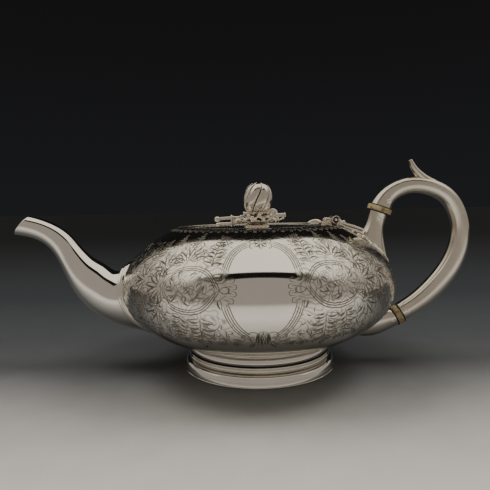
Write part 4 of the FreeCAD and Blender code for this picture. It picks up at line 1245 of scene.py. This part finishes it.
def make_stage():
    """The floor: its colour goes from pale in front to near black behind, painted shade for the shadow under
    the pot and for the light falling off towards the back.
    """
    size = 30
    mesh = bpy.data.meshes.new("floor")
    mesh.from_pydata([(-size, -size, 0), (size, -size, 0), (size, size, 0), (-size, size, 0)], [],
                     [(0, 1, 2, 3)])
    floor = show("floor", mesh)
    material, tree, shader, _ = new_material("floor")
    place = node(tree, "ShaderNodeNewGeometry").outputs["Position"]
    split = node(tree, "ShaderNodeSeparateXYZ", {"Vector": place})
    depth = node(tree, "ShaderNodeMapRange",
                 {"Value": split.outputs["Y"], "From Min": -0.15, "From Max": 1.35})
    # Painted shade: the colour falls from pale in front, through dark under the pot as its shadow, to near
    # black behind where the light falls off.
    painted_shade_tone = ramp(tree, depth.outputs["Result"], [
        (0, (0.71, 0.7, 0.69)), (0.045, grey(0.41)), (0.07, (0.24, 0.245, 0.25)), (0.1, (0.09, 0.096, 0.103)),
        (0.14, (0.068, 0.073, 0.081)), (0.25, (0.042, 0.046, 0.053)), (0.48, (0.033, 0.036, 0.041)),
        (1, (0.022, 0.024, 0.028))])
    speck = ramp(tree, noise(tree, place, 60, 5), [(0.3, grey(0.94)), (0.7, grey(1))])
    fill(tree, shader, {"Base Color": mix(tree, "MULTIPLY", 1, painted_shade_tone, speck), "Roughness": 0.7,
                        "Specular IOR Level": 0.05})
    mesh.materials.append(material)


def make_world():
    """A grey studio with a long bright softbox overhead, a dark gap in front of it and a black backdrop."""
    world = bpy.data.worlds.new("studio")
    bpy.context.scene.world = world
    world.use_nodes = True
    tree = world.node_tree
    tree.nodes.clear()
    direction = node(tree, "ShaderNodeTexCoord").outputs["Generated"]
    split = node(tree, "ShaderNodeSeparateXYZ", {"Vector": direction})
    x, y, z = (split.outputs[axis] for axis in "XYZ")

    def maths(operation, first, second):
        return math_node(tree, operation, first, second)

    def edge(value, low, high):
        """0 below low, 1 above high, and smooth between."""
        return node(tree, "ShaderNodeMapRange", {"Value": value, "From Min": low, "From Max": high},
                    interpolation_type="SMOOTHSTEP").outputs["Result"]

    def vector_maths(operation, inputs):
        return node(tree, "ShaderNodeVectorMath", inputs, operation=operation).outputs[0]
    side = maths("SQRT", maths("ADD", maths("MULTIPLY", x, x), 0.01), 0.0)
    backdrop = edge(maths("SUBTRACT", y, maths("MULTIPLY", side, 0.6)), 0.31, 0.36)
    box_front = edge(y, -0.31, -0.27)
    softbox = maths("MULTIPLY", edge(z, 0.3, 0.8), box_front)
    before_box = maths("MULTIPLY", edge(y, -0.53, -0.5), maths("SUBTRACT", 1.0, box_front))
    gap = maths("MULTIPLY", before_box, edge(z, 0.66, 0.76))
    light = ramp(tree, softbox, [(0, (0.3, 0.27, 0.235)), (1, (1.0, 0.935, 0.8))])
    lit = vector_maths("SCALE", {0: light, "Scale": maths("SUBTRACT", 1.0, maths("MAXIMUM", gap, backdrop))})
    haze = ramp(tree, edge(z, -0.05, 0.5), [
        (0, (0.0135, 0.0138, 0.0155)), (0.4, (0.0108, 0.0109, 0.012)), (1, (0.008, 0.0078, 0.0078))])
    glow = vector_maths("ADD", {0: lit, 1: haze})
    background = node(tree, "ShaderNodeBackground", {"Color": glow, "Strength": 1.0})
    node(tree, "ShaderNodeOutputWorld", {"Surface": background.outputs[0]})


def make_camera():
    """The camera: 240 mm in front of the bowl's side, looking a little down."""
    camera = bpy.data.cameras.new("camera")
    camera.sensor_width = 36
    camera.lens = camera.sensor_width * 468 / 490
    camera.clip_start, camera.clip_end = 0.01, 20
    holder = show("camera", camera)
    holder.location = (-0.0075, -0.2869, 0.0958)
    level = Matrix.Rotation(math.radians(90 - 4.38), 4, "X")
    roll = Matrix.Rotation(math.radians(-1.19), 4, "Z")
    holder.matrix_world = Matrix.Translation(holder.location) @ level @ roll
    bpy.context.scene.camera = holder


def make_lights():
    """Two soft lamps above, a little behind."""
    aim = Vector((0, -0.05, 0))
    for name, place, size, power, tint in (("left_window", (-0.45, 0.1, 0.85), 0.45, 3.5, (1, 0.96, 0.9)),
                                           ("right_window", (0.5, 0.05, 0.8), 0.35, 3, (1, 0.96, 0.91))):
        lamp = bpy.data.lights.new(name, "AREA")
        lamp.shape = "SQUARE"
        lamp.size = size
        lamp.energy = power
        lamp.color = tint
        holder = show(name, lamp)
        holder.location = place
        holder.visible_glossy = False
        holder.rotation_mode = "QUATERNION"
        holder.rotation_quaternion = (aim - Vector(place)).to_track_quat("-Z", "Y")


make_bowl()
make_mouth()
make_foot()
make_spout()
make_collar()
make_handle()
make_socket("upper_socket_tube", UPPER_SOCKET_SECTIONS, "upper_socket")
make_socket("lower_socket_tube", LOWER_SOCKET_SECTIONS, "lower_socket")
make_insulator("upper_bone_ring", UPPER_JOINT, 7.5, 3.5, "upper_insulator")
make_insulator("lower_bone_ring", LOWER_JOINT, 6.1, 4.1, "lower_insulator")
make_pins()
make_lid()
engrave_bowl()
engrave_borders()
make_fruit()
make_cluster()
make_stems()
make_pedestal()
make_hinge_arm()
make_hinge_tongue()
make_hinge_pin()
make_hinge_bud()
make_thumb()
make_leaf_mount()
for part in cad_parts.values():
    part.data.materials.clear()
    part.data.materials.append(CAST)
make_stage()
make_world()
make_camera()
make_lights()
